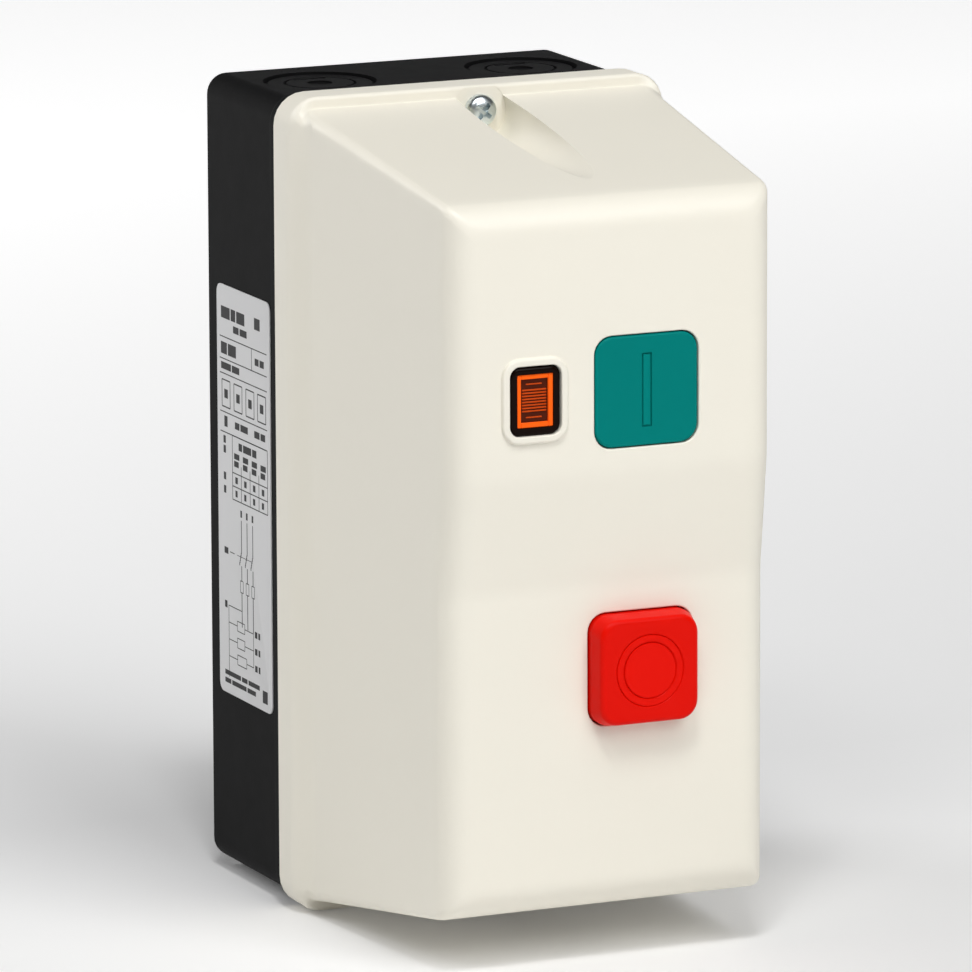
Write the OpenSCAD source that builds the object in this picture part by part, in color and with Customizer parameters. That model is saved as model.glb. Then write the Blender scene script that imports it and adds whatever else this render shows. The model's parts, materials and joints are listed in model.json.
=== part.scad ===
// Enclosed direct-on-line motor starter: a wall box, a front cover with a start
// button, a stop button and a pilot lamp, and a contactor with a thermal
// overload relay inside. X runs to the right, Y into the wall and Z up. The
// origin is the middle of the four wall-fixing holes, on the back face.

/* [Enclosure] */
// Width over the cover's rim
rim_w = 88.9; // [88:0.1:96]
// Height over the cover's rim
rim_h = 180; // [179:0.5:190]
// Depth of the rim's flat edge
rim_depth = 8.5; // [7:0.5:10]
// Corner radius of the rim
rim_r = 7.5; // [5:0.5:10]
// Depth of the box that goes against the wall
base_depth = 42.2; // [42:0.1:48]
// Depth of the cover, from the rim's back to the upper front face
cover_depth = 79.3; // [79:0.1:86]
// Wall thickness of box and cover
wall = 2.5; // [2:0.1:3]
// How far the box stands inside the rim on each side
base_inset = 1.75; // [1.5:0.05:2]
// Distance between the wall-fixing holes, side to side
wall_hole_dx = 60; // [56:1:64]
// Distance between the wall-fixing holes, top to bottom
wall_hole_dz = 150; // [148:1:156]
// Diameter of the wall-fixing holes
wall_hole_d = 4.5; // [4:0.1:5.5]

/* [Cover shape] */
// Half width of the cover's body where it leaves the rim
shoulder_x = 42; // [41.5:0.1:42.5]
// Half width of the cover's front face
front_x = 37.5; // [37:0.1:39]
// Height of the cover's body where it leaves the rim, above the middle
shoulder_z = 87.3; // [87:0.1:88]
// Height of the front face's top edge
front_top_z = 75.8; // [75:0.1:80]
// Depth of the front face's bottom edge below the middle
front_bottom_z = 77.4; // [76:0.1:80]
// Height at which the upper front face ends
step_top_z = 17.6; // [16:0.1:18]
// Height at which the lower front face begins
step_bottom_z = -7.4; // [-8:0.1:-5]
// How far the lower front face stands back
step_back = 3.5; // [2:0.1:4]
// Radius of the front face's edges
edge_r = 6.5; // [5:0.1:7]

/* [Cover screws] */
// Sideways place of the two cover screws
screw_x = 0.5; // [-2:0.1:2]
// Height of the cover screws above and below the middle
screw_z = 84.4; // [84:0.1:84.4]
// Diameter of the screw heads
screw_head_d = 7.2; // [6.5:0.1:7.4]
// Diameter of the screwdriver grooves
groove_d = 12.6; // [12:0.1:14]

/* [Buttons and lamp] */
// Side of the square start button
start_w = 23.8; // [22:0.1:24]
// Start button, sideways
start_x = 7.4; // [6:0.1:8]
// Start button, height
start_z = 34.6; // [34:0.1:36]
// Side of the square stop button
stop_w = 24; // [22:0.1:24]
// Stop button, sideways
stop_x = 7.5; // [6:0.1:8]
// Stop button, height
stop_z = -25.8; // [-27:0.1:-25]
// How far the stop button stands proud of its face
stop_proud = 5; // [4.5:0.1:6]
// Corner radius of both buttons
button_r = 4; // [2:0.1:5]
// Width of the lamp's window
lamp_w = 11.9; // [10:0.1:12]
// Height of the lamp's window
lamp_h = 15; // [14:0.1:15.5]
// Lamp, sideways
lamp_x = -18.6; // [-19:0.1:-18.4]
// Lamp, height
lamp_z = 34.4; // [33:0.1:35]

/* [Contactor and relay] */
// Width of the contactor and of the overload relay
device_w = 45; // [45:0.5:46]
// Distance between neighbouring poles
pole_pitch = 10.5; // [10.5:0.1:10.6]
// Height of the contactor's middle
contactor_z = 29; // [29:0.1:29.5]
// Length of the mounting rail
rail_len = 62; // [60:1:70]

/* [Hidden] */
$fn = 48;
over = 0.1;                               // how far a cut runs past a face
rim_y = -base_depth;                      // plane where cover and box meet
shoulder_y = rim_y - rim_depth;
front_y = rim_y - cover_depth;            // upper front face
lower_y = front_y + step_back;            // lower front face
base_w = rim_w - 2 * base_inset;
base_h = rim_h - 2 * base_inset;
floor_y = -3;                             // inside face of the box's back
screw_r = 1.9;
gasket_t = 1.4;                           // width of the gasket and of its groove
seat_y = shoulder_y + 0.1;                // where the cover screws' heads sit
tube_end_y = front_y + 7.6;               // back end of the buttons' guide tubes
flange_t = 1.5;                           // thickness of the buttons' retaining flanges
seal_t = 0.9;                             // thickness of the buttons' seals
flange_y = tube_end_y + seal_t + over;    // front face of those flanges
frame_y = -104;                           // front face of the plate behind the buttons
frame_t = 2.5;
start_stem_y = -100;
stop_stem_y = -96;
frame_posts = [[start_x, 53], [-4.5, 4.5], [19, 4.5], [stop_x, -44]];

flange_w = rim_w - 1.3;                   // the box's own rim, just inside the cover's
flange_h = rim_h - 1.3;
base_r = 4.5;
knockout_x = 24;                          // cable knock-outs: middles from the box's middle
knockout_y = rim_y + 22;
knockout_r = 12.5;
mark_z = base_h / 2 - 1.4;                // floor of the marks pressed into the knock-outs
insert_r = 2.7;                           // threaded inserts for the cover screws
insert_len = 8;
gasket_w = rim_w - 3.9;
gasket_h = rim_h - 4;
gasket_y = rim_y - 1.8;

rail_y = -7.5;                            // face of the rail's web
rail_screw_x = 26.5;
earth_x = -31.5;
earth_z = -50;
earth_y = -9;                             // face of the earth terminal's pad

device_back_y = -14.2;                    // back of the contactor
split_y = -46;                            // where the contactor's base and head meet
shelf_y = -70;                            // front of the head at its terminals
tower_y = -80;                            // front of the head's middle
device_half_h = 29;
tower_half_h = 20;
hook_y = -11;                             // back of the hooks that hold the rail
core_half_w = 7;
limb_z = [12.5, 18];                      // outer limbs of the iron core
coil_x = 16;                              // coil terminals, from the middle
coil_screw_y = -43;
bobbin_y = [-38.2, -23.7];
contact_half_w = 3;                       // copper rails of contactor and relay
contact_y = -59.9;                        // their front face
contact_t = 1.2;
contact_r = 1.8;                          // contact buttons, and holes in the rails
terminal_z = 24.5;                        // the contactor's terminals, from its middle
clamp_y = -62.1;                          // front face of the wire clamps
chamber_half_w = 4.4;                     // chamber of one pole
carrier_y = -55.1;                        // back of the contact carrier
bridge_y = -67.2;                         // front face of the moving contacts
bridge_z = 14.5;                          // contact buttons, from the middle

relay_bottom = -62;
relay_top = -3.6;
relay_low_z = -52;                        // the relay's front ends above its terminals
relay_back_y = -26;
relay_split_y = -76;                      // where the relay's housing and front meet
relay_front_y = -86;
relay_half_in = 20.2;                     // half width of the relay's inside
relay_terminal_z = -57.5;
reset_spring_y = [-71.4, -81.3];          // back and front end of the reset spring
dial_x = -10;
block_y = -80.1;                          // back of the start contact block
poles = [for (i = [0 : 3]) (i - 1.5) * pole_pitch];
main_poles = [for (i = [0 : 2]) poles[i]];

wire_y = -38;                             // depth at which the wires pass the contactor
wire_z = contactor_z + 28.8;              // wires enter the coil terminals here
lamp_route = [[-coil_x, wire_y, wire_z], [-coil_x, wire_y, 66], [-31, wire_y, 66], [-31, -90, 66],
              [-31, -90, 40], [lamp_x - 8, -90, 40]];
start_route = [[start_x, -88, 50.5], [start_x, -88, 70], [coil_x, wire_y, 70], [coil_x, wire_y, wire_z]];
relay_route = [[poles[3], -59.3, -61.1], [poles[3], -59.3, -68], [31, -59.3, -68], [31, -59.3, 4],
               [31, -88, 4], [start_x, -88, 4], [start_x, -88, 18.7]];

// ---- shared shapes ----

// Rectangle with round corners
module rounded_rect(w, h, r) {
    if (r <= 0) square([w, h], center = true);
    else {
        square([w - 2 * r, h], center = true);
        square([w, h - 2 * r], center = true);
        for (x = [-1, 1], z = [-1, 1]) translate([x * (w / 2 - r), z * (h / 2 - r)]) circle(r);
    }
}

// Plate with round corners, facing forward, from its back plane to its front plane
module slab(w, h, y_back, y_front, r = 0, x = 0, z = 0) {
    translate([x, y_back, z]) rotate([90, 0, 0]) linear_extrude(y_back - y_front) rounded_rect(w, h, r);
}

// Rod that points forward, from its back plane to its front plane
module rod(r, y_back, y_front, x = 0, z = 0) {
    translate([x, y_back, z]) rotate([90, 0, 0]) cylinder(r = r, h = y_back - y_front);
}

// Box between two corners
module block(low, high) {
    translate(low) cube(high - low);
}

function unit(v) = v / norm(v);

// Arc that rounds the corner b of the path a-b-c
function corner_arc(a, b, c, r, steps = 8) =
    let (u = unit(a - b), v = unit(c - b), half = acos(u * v) / 2,
         centre = b + unit(u + v) * r / sin(half),
         first = b + u * r / tan(half) - centre, last = b + v * r / tan(half) - centre,
         a0 = atan2(first.y, first.x), turn = (atan2(last.y, last.x) - a0 + 540) % 360 - 180)
    [for (k = [0 : steps]) centre + r * [cos(a0 + turn * k / steps), sin(a0 + turn * k / steps)]];

// Closed path whose corners are rounded, each by its own radius
function rounded_path(pts, radii) = [
    for (i = [0 : len(pts) - 1])
        let (n = len(pts), b = pts[i])
        each radii[i] > 0 ? corner_arc(pts[(i + n - 1) % n], b, pts[(i + 1) % n], radii[i]) : [b]
];

// Coil spring that runs forward from its back end
module spring(r, wire_r, y_back, y_front, turns, x = 0, z = 0, steps = 12, sides = 6) {
    n = turns * steps;
    run = y_back - y_front - 2 * wire_r;
    rings = [for (i = [0 : n], k = [0 : sides - 1])
        let (t = 360 * i / steps, a = 360 * k / sides, rr = r + wire_r * cos(a))
        [x + rr * cos(t), y_back - wire_r - run * i / n + wire_r * sin(a), z + rr * sin(t)]];
    walls = [for (i = [0 : n - 1], k = [0 : sides - 1])
        let (k2 = (k + 1) % sides)
        [i * sides + k, (i + 1) * sides + k, (i + 1) * sides + k2, i * sides + k2]];
    ends = [[for (k = [0 : sides - 1]) k], [for (k = [0 : sides - 1]) n * sides + sides - 1 - k]];
    polyhedron(rings, concat(walls, ends));
}

// Insulated wire along a route of straight runs
module wire(route, r = 0.9) {
    for (i = [0 : len(route) - 2]) {
        a = route[i];
        d = route[i + 1] - a;
        translate(a) rotate([0, acos(d.z / norm(d)), atan2(d.y, d.x)]) cylinder(r = r, h = norm(d));
        if (i > 0) translate(a) sphere(r * 1.03);
    }
}

// Screw that points into the wall, with a cross recess
module pan_screw(head_r, head_h, shank_r, seat, tip, x = 0, z = 0, cross = true) {
    difference() {
        union() {
            rod(head_r, seat, seat - head_h, x, z);
            rod(shank_r, tip, seat, x, z);
        }
        if (cross) for (a = [0, 90])
            translate([x, seat - head_h, z]) rotate([0, a, 0])
                translate([-head_r * 0.55, -over, -head_r * 0.1])
                    cube([head_r * 1.1, head_h * 0.6, head_r * 0.2]);
    }
}

// Children at the top end of the contactor and, mirrored, at its bottom end
module both_ends() {
    for (s = [0, 1]) translate([0, 0, contactor_z]) mirror([0, 0, s]) children();
}

module at_contactor() {
    translate([0, 0, contactor_z]) children();
}

// ---- box ----

// Webs, ring and pull bar of one cable knock-out in the top wall
module knockout_cuts(x) translate([x, knockout_y, 0]) {
    translate([0, 0, base_h / 2 - 0.8]) cylinder(r = knockout_r, h = 2);
    translate([0, 0, mark_z - 0.1]) difference() {
        cylinder(r = 8, h = 2);
        translate([0, 0, -over]) cylinder(r = 7.4, h = 3);
    }
    translate([0, 0, mark_z]) cylinder(r = 2.8, h = 2);
    translate([-3.75, 5.2, mark_z]) cube([7.5, 1.2, 2]);
}

module base_box() color("#2b2b2c") difference() {
    union() {
        difference() {
            union() {
                slab(base_w, base_h, 0, rim_y, base_r);
                slab(flange_w, flange_h, rim_y + 4, rim_y, rim_r - 0.6);
            }
            slab(base_w - 2 * wall, base_h - 2 * wall, floor_y, rim_y - over, base_r - 2);
        }
        intersection() {
            slab(base_w, base_h, 0, rim_y, base_r);
            for (s = [-1, 1]) rod(4.4, floor_y + over, rim_y, screw_x, s * screw_z);
        }
        at_wall_holes() rod(5, floor_y + over, floor_y - 2);
        for (x = [-1, 1]) rod(4.2, floor_y + over, rail_y + 1, x * rail_screw_x, contactor_z);
        rod(4, floor_y + over, earth_y, earth_x, earth_z);
    }
    at_wall_holes() rod(wall_hole_d / 2, over, floor_y - 5);
    for (s = [-1, 1]) {
        rod(insert_r, rim_y + insert_len, rim_y - over, screw_x, s * screw_z);
        rod(screw_r + 0.3, -30, rim_y - over, screw_x, s * screw_z);
    }
    for (x = [-1, 1]) rod(1.5, floor_y / 2, rail_y + 0.5, x * rail_screw_x, contactor_z);
    rod(2.05, floor_y - 0.5, earth_y - over, earth_x, earth_z);
    for (x = [-1, 1], s = [0, 1]) mirror([0, 0, s]) knockout_cuts(x * knockout_x);
}

// Children at each of the four wall-fixing holes
module at_wall_holes() {
    for (x = [-1, 1], z = [-1, 1]) translate([x * wall_hole_dx / 2, 0, z * wall_hole_dz / 2]) children();
}

module screw_inserts() color("goldenrod") for (s = [-1, 1]) difference() {
    rod(insert_r, rim_y + insert_len, rim_y, screw_x, s * screw_z);
    rod(screw_r + 0.06, rim_y + insert_len + over, rim_y - over, screw_x, s * screw_z);
}

module side_label() color("#c4c4c4")
    translate([-base_w / 2, rim_y + 21.4, -3]) rotate([90, 0, -90]) linear_extrude(0.3)
        rounded_rect(29.8, 91.6, 2);

// Top-hat rail, 35 mm wide and 7.5 mm deep
module mounting_rail() color("#b8bcc0") difference() {
    for (s = [0, 1]) translate([-rail_len / 2, 0, contactor_z]) mirror([0, 0, s]) rotate([90, 0, 90])
        linear_extrude(rail_len)
            polygon([[-6.5, -over], [-6.5, 13.5], [-13, 13.5], [-13, 17.5], [-14, 17.5], [-14, 12.5],
                     [-7.5, 12.5], [-7.5, -over]]);
    for (x = [-1, 1]) rod(1.9, rail_y + 1.5, rail_y - 0.5, x * rail_screw_x, contactor_z);
}

module rail_screws() color("#c8ccd0")
    for (x = [-1, 1]) pan_screw(3.2, 2.4, 1.45, rail_y, -2, x * rail_screw_x, contactor_z);

module earth_terminal() color("#c9a850") difference() {
    union() {
        block([earth_x - 4.5, earth_y - 1.2, earth_z - 6], [earth_x + 4.5, earth_y, earth_z + 6]);
        block([earth_x - 4.5, earth_y - 7, earth_z - 7.2], [earth_x + 4.5, earth_y, earth_z - 6]);
    }
    rod(2.1, earth_y + 1, earth_y - 3, earth_x, earth_z);
}

module earth_screw() color("#3d8a4a") pan_screw(3.6, 2.6, 2, earth_y - 1.2, -4, earth_x, earth_z);

// ---- cover ----

function top_line(y) = shoulder_z + (front_top_z - shoulder_z) * (y - shoulder_y) / (front_y - shoulder_y);
function bottom_line(y) =
    -shoulder_z + (shoulder_z - front_bottom_z) * (y - shoulder_y) / (lower_y - shoulder_y);
function half_width(y) = shoulder_x + (front_x - shoulder_x) * (y - shoulder_y) / (front_y - shoulder_y);

// Side view of the cover's body, moved inward by t
module side_shape(t, y_back) {
    pts = [[y_back, top_line(y_back) - t], [front_y + t, top_line(front_y + t) - t],
           [front_y + t, step_top_z], [lower_y + t, step_bottom_z], [lower_y + t, bottom_line(lower_y + t) + t],
           [y_back, bottom_line(y_back) + t]];
    width = 2 * rim_w;
    translate([-width / 2, 0, 0]) rotate([90, 0, 90]) linear_extrude(width)
        polygon(rounded_path(pts, [0, edge_r + 0.5 - t, 0, 0, edge_r + 1 - t, 0]));
}

// Plan view of the cover's body, moved inward by t, with its front at y_front
module plan_outline(t, y_back, y_front, r) {
    xb = half_width(y_back) - t;
    xf = half_width(y_front) - t;
    polygon(rounded_path([[-xb, y_back], [-xf, y_front], [xf, y_front], [xb, y_back]], [0, r, r, 0]));
}

module prism(z_low, z_high, t, y_back, y_front, r) {
    translate([0, 0, z_low]) linear_extrude(z_high - z_low) plan_outline(t, y_back, y_front, r);
}

module cover_body() intersection() {
    side_shape(0, rim_y - 1);
    union() {
        prism(step_top_z, rim_h, 0, rim_y - 1, front_y, edge_r);
        prism(-rim_h, step_bottom_z, 0, rim_y - 1, lower_y, edge_r);
        hull() {
            prism(step_top_z, step_top_z + 0.01, 0, rim_y - 1, front_y, edge_r);
            prism(step_bottom_z - 0.01, step_bottom_z, 0, rim_y - 1, lower_y, edge_r);
        }
    }
}

module cover_outside() {
    slab(rim_w, rim_h, rim_y, shoulder_y, rim_r);
    cover_body();
}

module cover_cavity() intersection() {
    side_shape(wall, rim_y + over);
    prism(-rim_h, rim_h, wall, rim_y + over, front_y + wall, edge_r);
}

module cover_shell() color("#f0ece0") difference() {
    union() {
        difference() {
            cover_outside();
            cover_cavity();
        }
        intersection() {
            cover_outside();
            union() {
                for (s = [-1, 1]) rod(groove_d / 2 + 2, rim_y, front_y, screw_x, s * screw_z);
                slab(start_w + 4, start_w + 4, tube_end_y, front_y, button_r + 1.5, start_x, start_z);
                slab(stop_w + 4, stop_w + 4, tube_end_y, front_y, button_r + 1.5, stop_x, stop_z);
                for (p = frame_posts) rod(3, frame_y, front_y, p.x, p.y);
            }
        }
        slab(lamp_w + 3.3, lamp_h + 3.3, front_y + 1, front_y - 0.9, 4, lamp_x, lamp_z);
    }
    difference() {
        slab(gasket_w, gasket_h, rim_y + over, gasket_y, 5);
        slab(gasket_w - 2 * gasket_t, gasket_h - 2 * gasket_t, rim_y + 2 * over, gasket_y - 0.2,
             5 - gasket_t);
    }
    for (s = [-1, 1]) {
        rod(groove_d / 2, seat_y, front_y - 5, screw_x, s * screw_z);
        rod(screw_r + 0.1, rim_y + over, seat_y - over, screw_x, s * screw_z);
    }
    slab(start_w + 0.5, start_w + 0.5, tube_end_y + over, front_y - over, button_r, start_x, start_z);
    slab(stop_w + 0.5, stop_w + 0.5, tube_end_y + over, lower_y - 1, button_r, stop_x, stop_z);
    slab(lamp_w, lamp_h, front_y + wall + over, front_y - 1, 2.3, lamp_x, lamp_z);
    for (p = frame_posts) rod(1.25, frame_y + over, frame_y - 8, p.x, p.y);
}

module cover_gasket() color("#3a3a3c") difference() {
    slab(gasket_w, gasket_h, rim_y, gasket_y, 5);
    slab(gasket_w - 2 * gasket_t, gasket_h - 2 * gasket_t, rim_y + over, gasket_y - 0.2, 5 - gasket_t);
}

module cover_screw(s) color("#c3c7cc")
    pan_screw(screw_head_d / 2, 2.6, screw_r, seat_y, rim_y + 10, screw_x, s * screw_z);

module cover_screw_top() cover_screw(1);

module cover_screw_bottom() cover_screw(-1);

// ---- buttons and lamp ----

// Hollow back, retaining flange and stem that both buttons share
module button_back(w, x, z, y_body, y_floor, stem_y) {
    difference() {
        union() {
            slab(w, w, flange_y, y_body, button_r, x, z);
            slab(w + 2.6, w + 2.6, flange_y + flange_t, flange_y, button_r, x, z);
        }
        slab(w - 6, w - 6, flange_y + flange_t + over, y_floor, 2, x, z);
    }
    rod(3.1, stem_y, y_floor - 0.5, x, z);
}

module start_button() color("#0b8078") difference() {
    button_back(start_w, start_x, start_z, front_y, front_y + 3, start_stem_y);
    slab(2.3, 15.9, front_y + 0.4, front_y - over, 0, start_x, start_z);
}

module stop_button() color("#e8220f") let (face_y = lower_y - stop_proud) difference() {
    union() {
        button_back(stop_w, stop_x, stop_z, lower_y - 1.5, lower_y + 1, stop_stem_y);
        hull() {
            slab(stop_w, stop_w, lower_y - 1.4, lower_y - 1.5, button_r, stop_x, stop_z);
            slab(stop_w - 1, stop_w - 1, lower_y - 3.8, lower_y - 3.9, button_r, stop_x, stop_z);
            slab(stop_w - 3, stop_w - 3, face_y + 0.1, face_y, button_r - 1, stop_x, stop_z);
        }
    }
    difference() {
        rod(7.95, face_y + 0.4, face_y - over, stop_x, stop_z);
        rod(6.05, face_y + 1, face_y - 1, stop_x, stop_z);
    }
}

module button_seal(w, x, z) color("#333333") difference() {
    slab(w + 2.6, w + 2.6, flange_y, flange_y - seal_t, button_r, x, z);
    slab(w + 0.1, w + 0.1, flange_y + over, tube_end_y, button_r, x, z);
}

module start_seal() button_seal(start_w, start_x, start_z);

module stop_seal() button_seal(stop_w, stop_x, stop_z);

module start_spring() color("silver") spring(5, 0.45, frame_y, front_y + 3, 6, start_x, start_z);

module stop_spring() color("silver") spring(5, 0.45, frame_y, lower_y + 1, 6, stop_x, stop_z);

module button_frame() color("#d9d5c8") difference() {
    block([-9.5, frame_y, stop_z - 22.7], [24.4, frame_y + frame_t, start_z + 22.9]);
    rod(3.3, frame_y + 3, frame_y - 1, start_x, start_z);
    rod(3.3, frame_y + 3, frame_y - 1, stop_x, stop_z);
    for (p = frame_posts) rod(1.5, frame_y + 3, frame_y - 1, p.x, p.y);
}

module frame_screws() color("silver")
    for (p = frame_posts) mirror([0, 1, 0]) translate([0, -2 * (frame_y + frame_t), 0])
        pan_screw(2.8, 2, 1.2, frame_y + frame_t, frame_y + frame_t + 8.5, p.x, p.y);

module lamp_lens() color("#8a2f08", 0.8) difference() {
    union() {
        slab(lamp_w - 0.2, lamp_h - 0.2, front_y + 7.5, front_y - 0.5, 2.2, lamp_x, lamp_z);
        slab(lamp_w + 3, lamp_h + 3, front_y + wall + 1.5, front_y + wall, 2.2, lamp_x, lamp_z);
    }
    slab(lamp_w - 2.6, lamp_h - 2.6, front_y + 8, front_y + 0.7, 1, lamp_x, lamp_z);
}

module lamp_holder() color("#e6e2d6") difference() {
    slab(lamp_w + 3.7, lamp_h + 5, -80.1, -112, 2, lamp_x, lamp_z);
    slab(lamp_w + 0.7, lamp_h + 2, -84, -113, 1, lamp_x, lamp_z);
    rod(1.1, -79, -85, lamp_x, lamp_z);
}

module neon_lamp() color("#ff8a40", 0.7) {
    rod(3.2, -84, -102, lamp_x, lamp_z);
    translate([lamp_x, -102, lamp_z]) sphere(3.2);
}

// ---- contactor ----

module contactor_base() color("#3a3f45") at_contactor() difference() {
    union() {
        block([-device_w / 2, split_y, -device_half_h], [device_w / 2, device_back_y, device_half_h]);
        block([-12, device_back_y - over, 17.8], [12, hook_y, 21]);
        block([-12, hook_y - 1.8, 15.5], [12, hook_y, 17.9]);
    }
    block([-16, split_y - over, -20], [16, -17.4, 20]);
    block([-5.2, device_back_y - 2.2, -device_half_h - over], [5.2, device_back_y + over, -14]);
    for (x = [-coil_x, coil_x])
        block([x - 3.7, split_y - over, 22.5], [x + 3.7, -34, device_half_h + over]);
}

module rail_latch() color("#e0dccf") at_contactor() {
    block([-5, device_back_y - 2, -33], [5, device_back_y - 0.2, -17.8]);
    block([-5, device_back_y - 0.3, -19.8], [5, hook_y, -17.8]);
    block([-5, hook_y - 1.8, -17.9], [5, hook_y, -15.5]);
}

// Three-limbed iron core: limbs run from the yoke's plane to the pole faces
module e_core(yoke_back, yoke_front, limb_back, limb_front) {
    w = core_half_w;
    block([-w, yoke_front, -limb_z[1]], [w, yoke_back, limb_z[1]]);
    block([-w, limb_front, -4.5], [w, limb_back, 4.5]);
    for (s = [0, 1]) mirror([0, 0, s]) block([-w, limb_front, limb_z[0]], [w, limb_back, limb_z[1]]);
}

module fixed_core() color("#7d8085") at_contactor() e_core(-17.5, -23.5, -23.4, -39);

module armature() color("#7d8085") at_contactor() e_core(-49, -55, -43.5, -49.1);

module coil_bobbin() color("#f2efe6") at_contactor() difference() {
    union() {
        block([-8.8, bobbin_y[0], -6.2], [8.8, bobbin_y[1], 6.2]);
        for (y = [bobbin_y[0], bobbin_y[1] - 1.2]) block([-14, y, -12.2], [14, y + 1.2, 12.2]);
    }
    block([-core_half_w - 0.3, bobbin_y[0] - 1, -4.8], [core_half_w + 0.3, bobbin_y[1] + 1, 4.8]);
}

module coil_winding() color("#b5652b") at_contactor() difference() {
    slab(26, 22, bobbin_y[1] - 1.2, bobbin_y[0] + 1.2, 2);
    block([-8.8, bobbin_y[0], -6.2], [8.8, bobbin_y[1], 6.2]);
}

module coil_terminals() color("#cfa95a") at_contactor() for (x = [-coil_x, coil_x]) difference() {
    block([x - 3.4, split_y + 0.2, 22.6], [x + 3.4, -36, 28.6]);
    translate([x, coil_screw_y, 23]) cylinder(r = 1.6, h = 6);
}

module coil_screws() color("silver") at_contactor() for (x = [-coil_x, coil_x])
    translate([x, coil_screw_y, 0]) {
    translate([0, 0, 28.6]) cylinder(r = 2.7, h = 2.2);
    translate([0, 0, 24]) cylinder(r = 1.55, h = 4.7);
}

module contactor_head() color("#2f3338") difference() {
    at_contactor() difference() {
        union() {
            block([-device_w / 2, shelf_y, -device_half_h], [device_w / 2, split_y - over, device_half_h]);
            block([-device_w / 2, tower_y, -tower_half_h], [device_w / 2, shelf_y + over, tower_half_h]);
        }
        block([-14.5, -56, -20], [14.5, split_y, 20]);
        block([-20.7, -60.5, -10.8], [20.7, -50.4, 10.8]);
        for (x = poles) block([x - chamber_half_w, tower_y + 3, -19.2], [x + chamber_half_w, -60.4, 19.2]);
    }
    both_ends() for (x = poles) {
        block([x - 3.1, -60.5, 12.4], [x + 3.1, -58.6, device_half_h + over]);
        block([x - chamber_half_w, shelf_y - over, 20.7], [x + chamber_half_w, -53, device_half_h + over]);
    }
}

module fixed_contacts() color("#c98b4f") both_ends() for (x = poles) {
    difference() {
        block([x - contact_half_w, contact_y, 12.5], [x + contact_half_w, contact_y + contact_t, 27.5]);
        rod(contact_r, -58, -61, x, terminal_z);
    }
    rod(contact_r, contact_y + over, contact_y - 0.8, x, bridge_z);
}

module terminal_clamps() color("#d0d3d6") both_ends() for (x = poles) difference() {
    block([x - 3.6, clamp_y, 21.2], [x + 3.6, clamp_y + 1.2, 27.8]);
    rod(1.85, -60, -63, x, terminal_z);
}

module terminal_screws() color("#d8dbde")
    both_ends() for (x = poles) pan_screw(3.1, 2.5, 1.75, clamp_y, -54, x, terminal_z);

module return_springs() color("silver")
    at_contactor() for (x = [-11, 11]) spring(2.2, 0.3, bobbin_y[0], carrier_y, 7, x, 0);

module contact_carrier() color("#5a4636") at_contactor() {
    block([-20.2, carrier_y - 3.5, -10], [20.2, carrier_y, 10]);
    for (x = poles) difference() {
        block([x - 4.1, -76.4, -4], [x + 4.1, carrier_y - 3.4, 4]);
        block([x - 3.2, -73.6, -4 - over], [x + 3.2, bridge_y + 1.2, 4 + over]);
    }
}

module moving_contacts() color("#c98b4f") at_contactor() for (x = poles) {
    block([x - 2.9, bridge_y, -17], [x + 2.9, bridge_y + 1.2, 17]);
    for (s = [-1, 1]) rod(contact_r, bridge_y + 2, bridge_y + 1.1, x, s * bridge_z);
}

module contact_springs() color("silver")
    at_contactor() for (x = poles) spring(2.2, 0.3, bridge_y, -73.6, 4, x, 0, 10);

// ---- start contact block ----

module start_block() color("#3a3f45") difference() {
    block([start_x - 9, -95, start_z - 14], [start_x + 9, block_y, start_z + 14]);
    rod(3.6, block_y - 1.9, -96, start_x, start_z);
    for (s = [-1, 1]) translate([start_x, -88, start_z + s * 12]) cube([7.2, 12.2, 7.2], center = true);
}

module start_plunger() color("#e6e2d6") rod(3.5, -91, start_stem_y + 0.05, start_x, start_z);

module start_block_spring() color("silver") spring(2.4, 0.35, block_y - 1.9, -91, 5, start_x, start_z);

module start_block_terminals() color("#cfa95a") for (s = [-1, 1])
    translate([start_x, -88, start_z + s * 12.6]) cube([7, 6, 4.8], center = true);

// ---- overload relay ----

module relay_housing() color("#33373c") difference() {
    block([-device_w / 2, relay_split_y, relay_bottom], [device_w / 2, relay_back_y, relay_top]);
    block([-relay_half_in, relay_split_y - over, relay_low_z], [relay_half_in, relay_back_y - 3, -7]);
    for (x = poles) {
        block([x - chamber_half_w, relay_split_y - over, relay_bottom - over],
              [x + chamber_half_w, -54, -53.5]);
        block([x - 3.1, contact_y - 0.1, -54], [x + 3.1, -58.6, relay_low_z + over]);
    }
    for (x = main_poles) block([x - 2.3, -61, -7.1], [x + 2.3, -59.8, relay_top + over]);
}

module relay_front() color("#4a5058") difference() {
    block([-device_w / 2, relay_front_y, relay_low_z], [device_w / 2, relay_split_y - over, relay_top]);
    block([-relay_half_in, relay_front_y + 3, relay_low_z + 2.5], [relay_half_in, relay_split_y, -7]);
    rod(3.7, -80, -87, stop_x, stop_z);
    rod(6.8, relay_front_y + 1.6, -87, dial_x, stop_z);
    rod(2.25, -80, -85, dial_x, stop_z);
    block([11.8, -87, -44.2], [18.4, -82, -39.8]);
}

module relay_pins() color("#c98b4f")
    for (x = main_poles) block([x - 2.2, contact_y - 1, -24], [x + 2.2, contact_y, contactor_z - 26.5]);

module bimetal_strips() color("#a8875a")
    for (x = main_poles) block([x - 0.45, -55, -50], [x + 0.45, -49, -15.5]);

module heater_windings() color("#8d8f92") for (x = main_poles) difference() {
    slab(4.4, 22, -47.8, -56.2, 0, x, -35);
    block([x - 0.6, -55.2, -47], [x + 0.6, -48.8, -23]);
}

module trip_bar() color("#e8e2c8") difference() {
    block([-19.6, -57, -17.8], [14, -47, -15]);
    for (x = main_poles) block([x - 2.7, -55.4, -18], [x + 0.6, -48.6, -14.9]);
}

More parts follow.
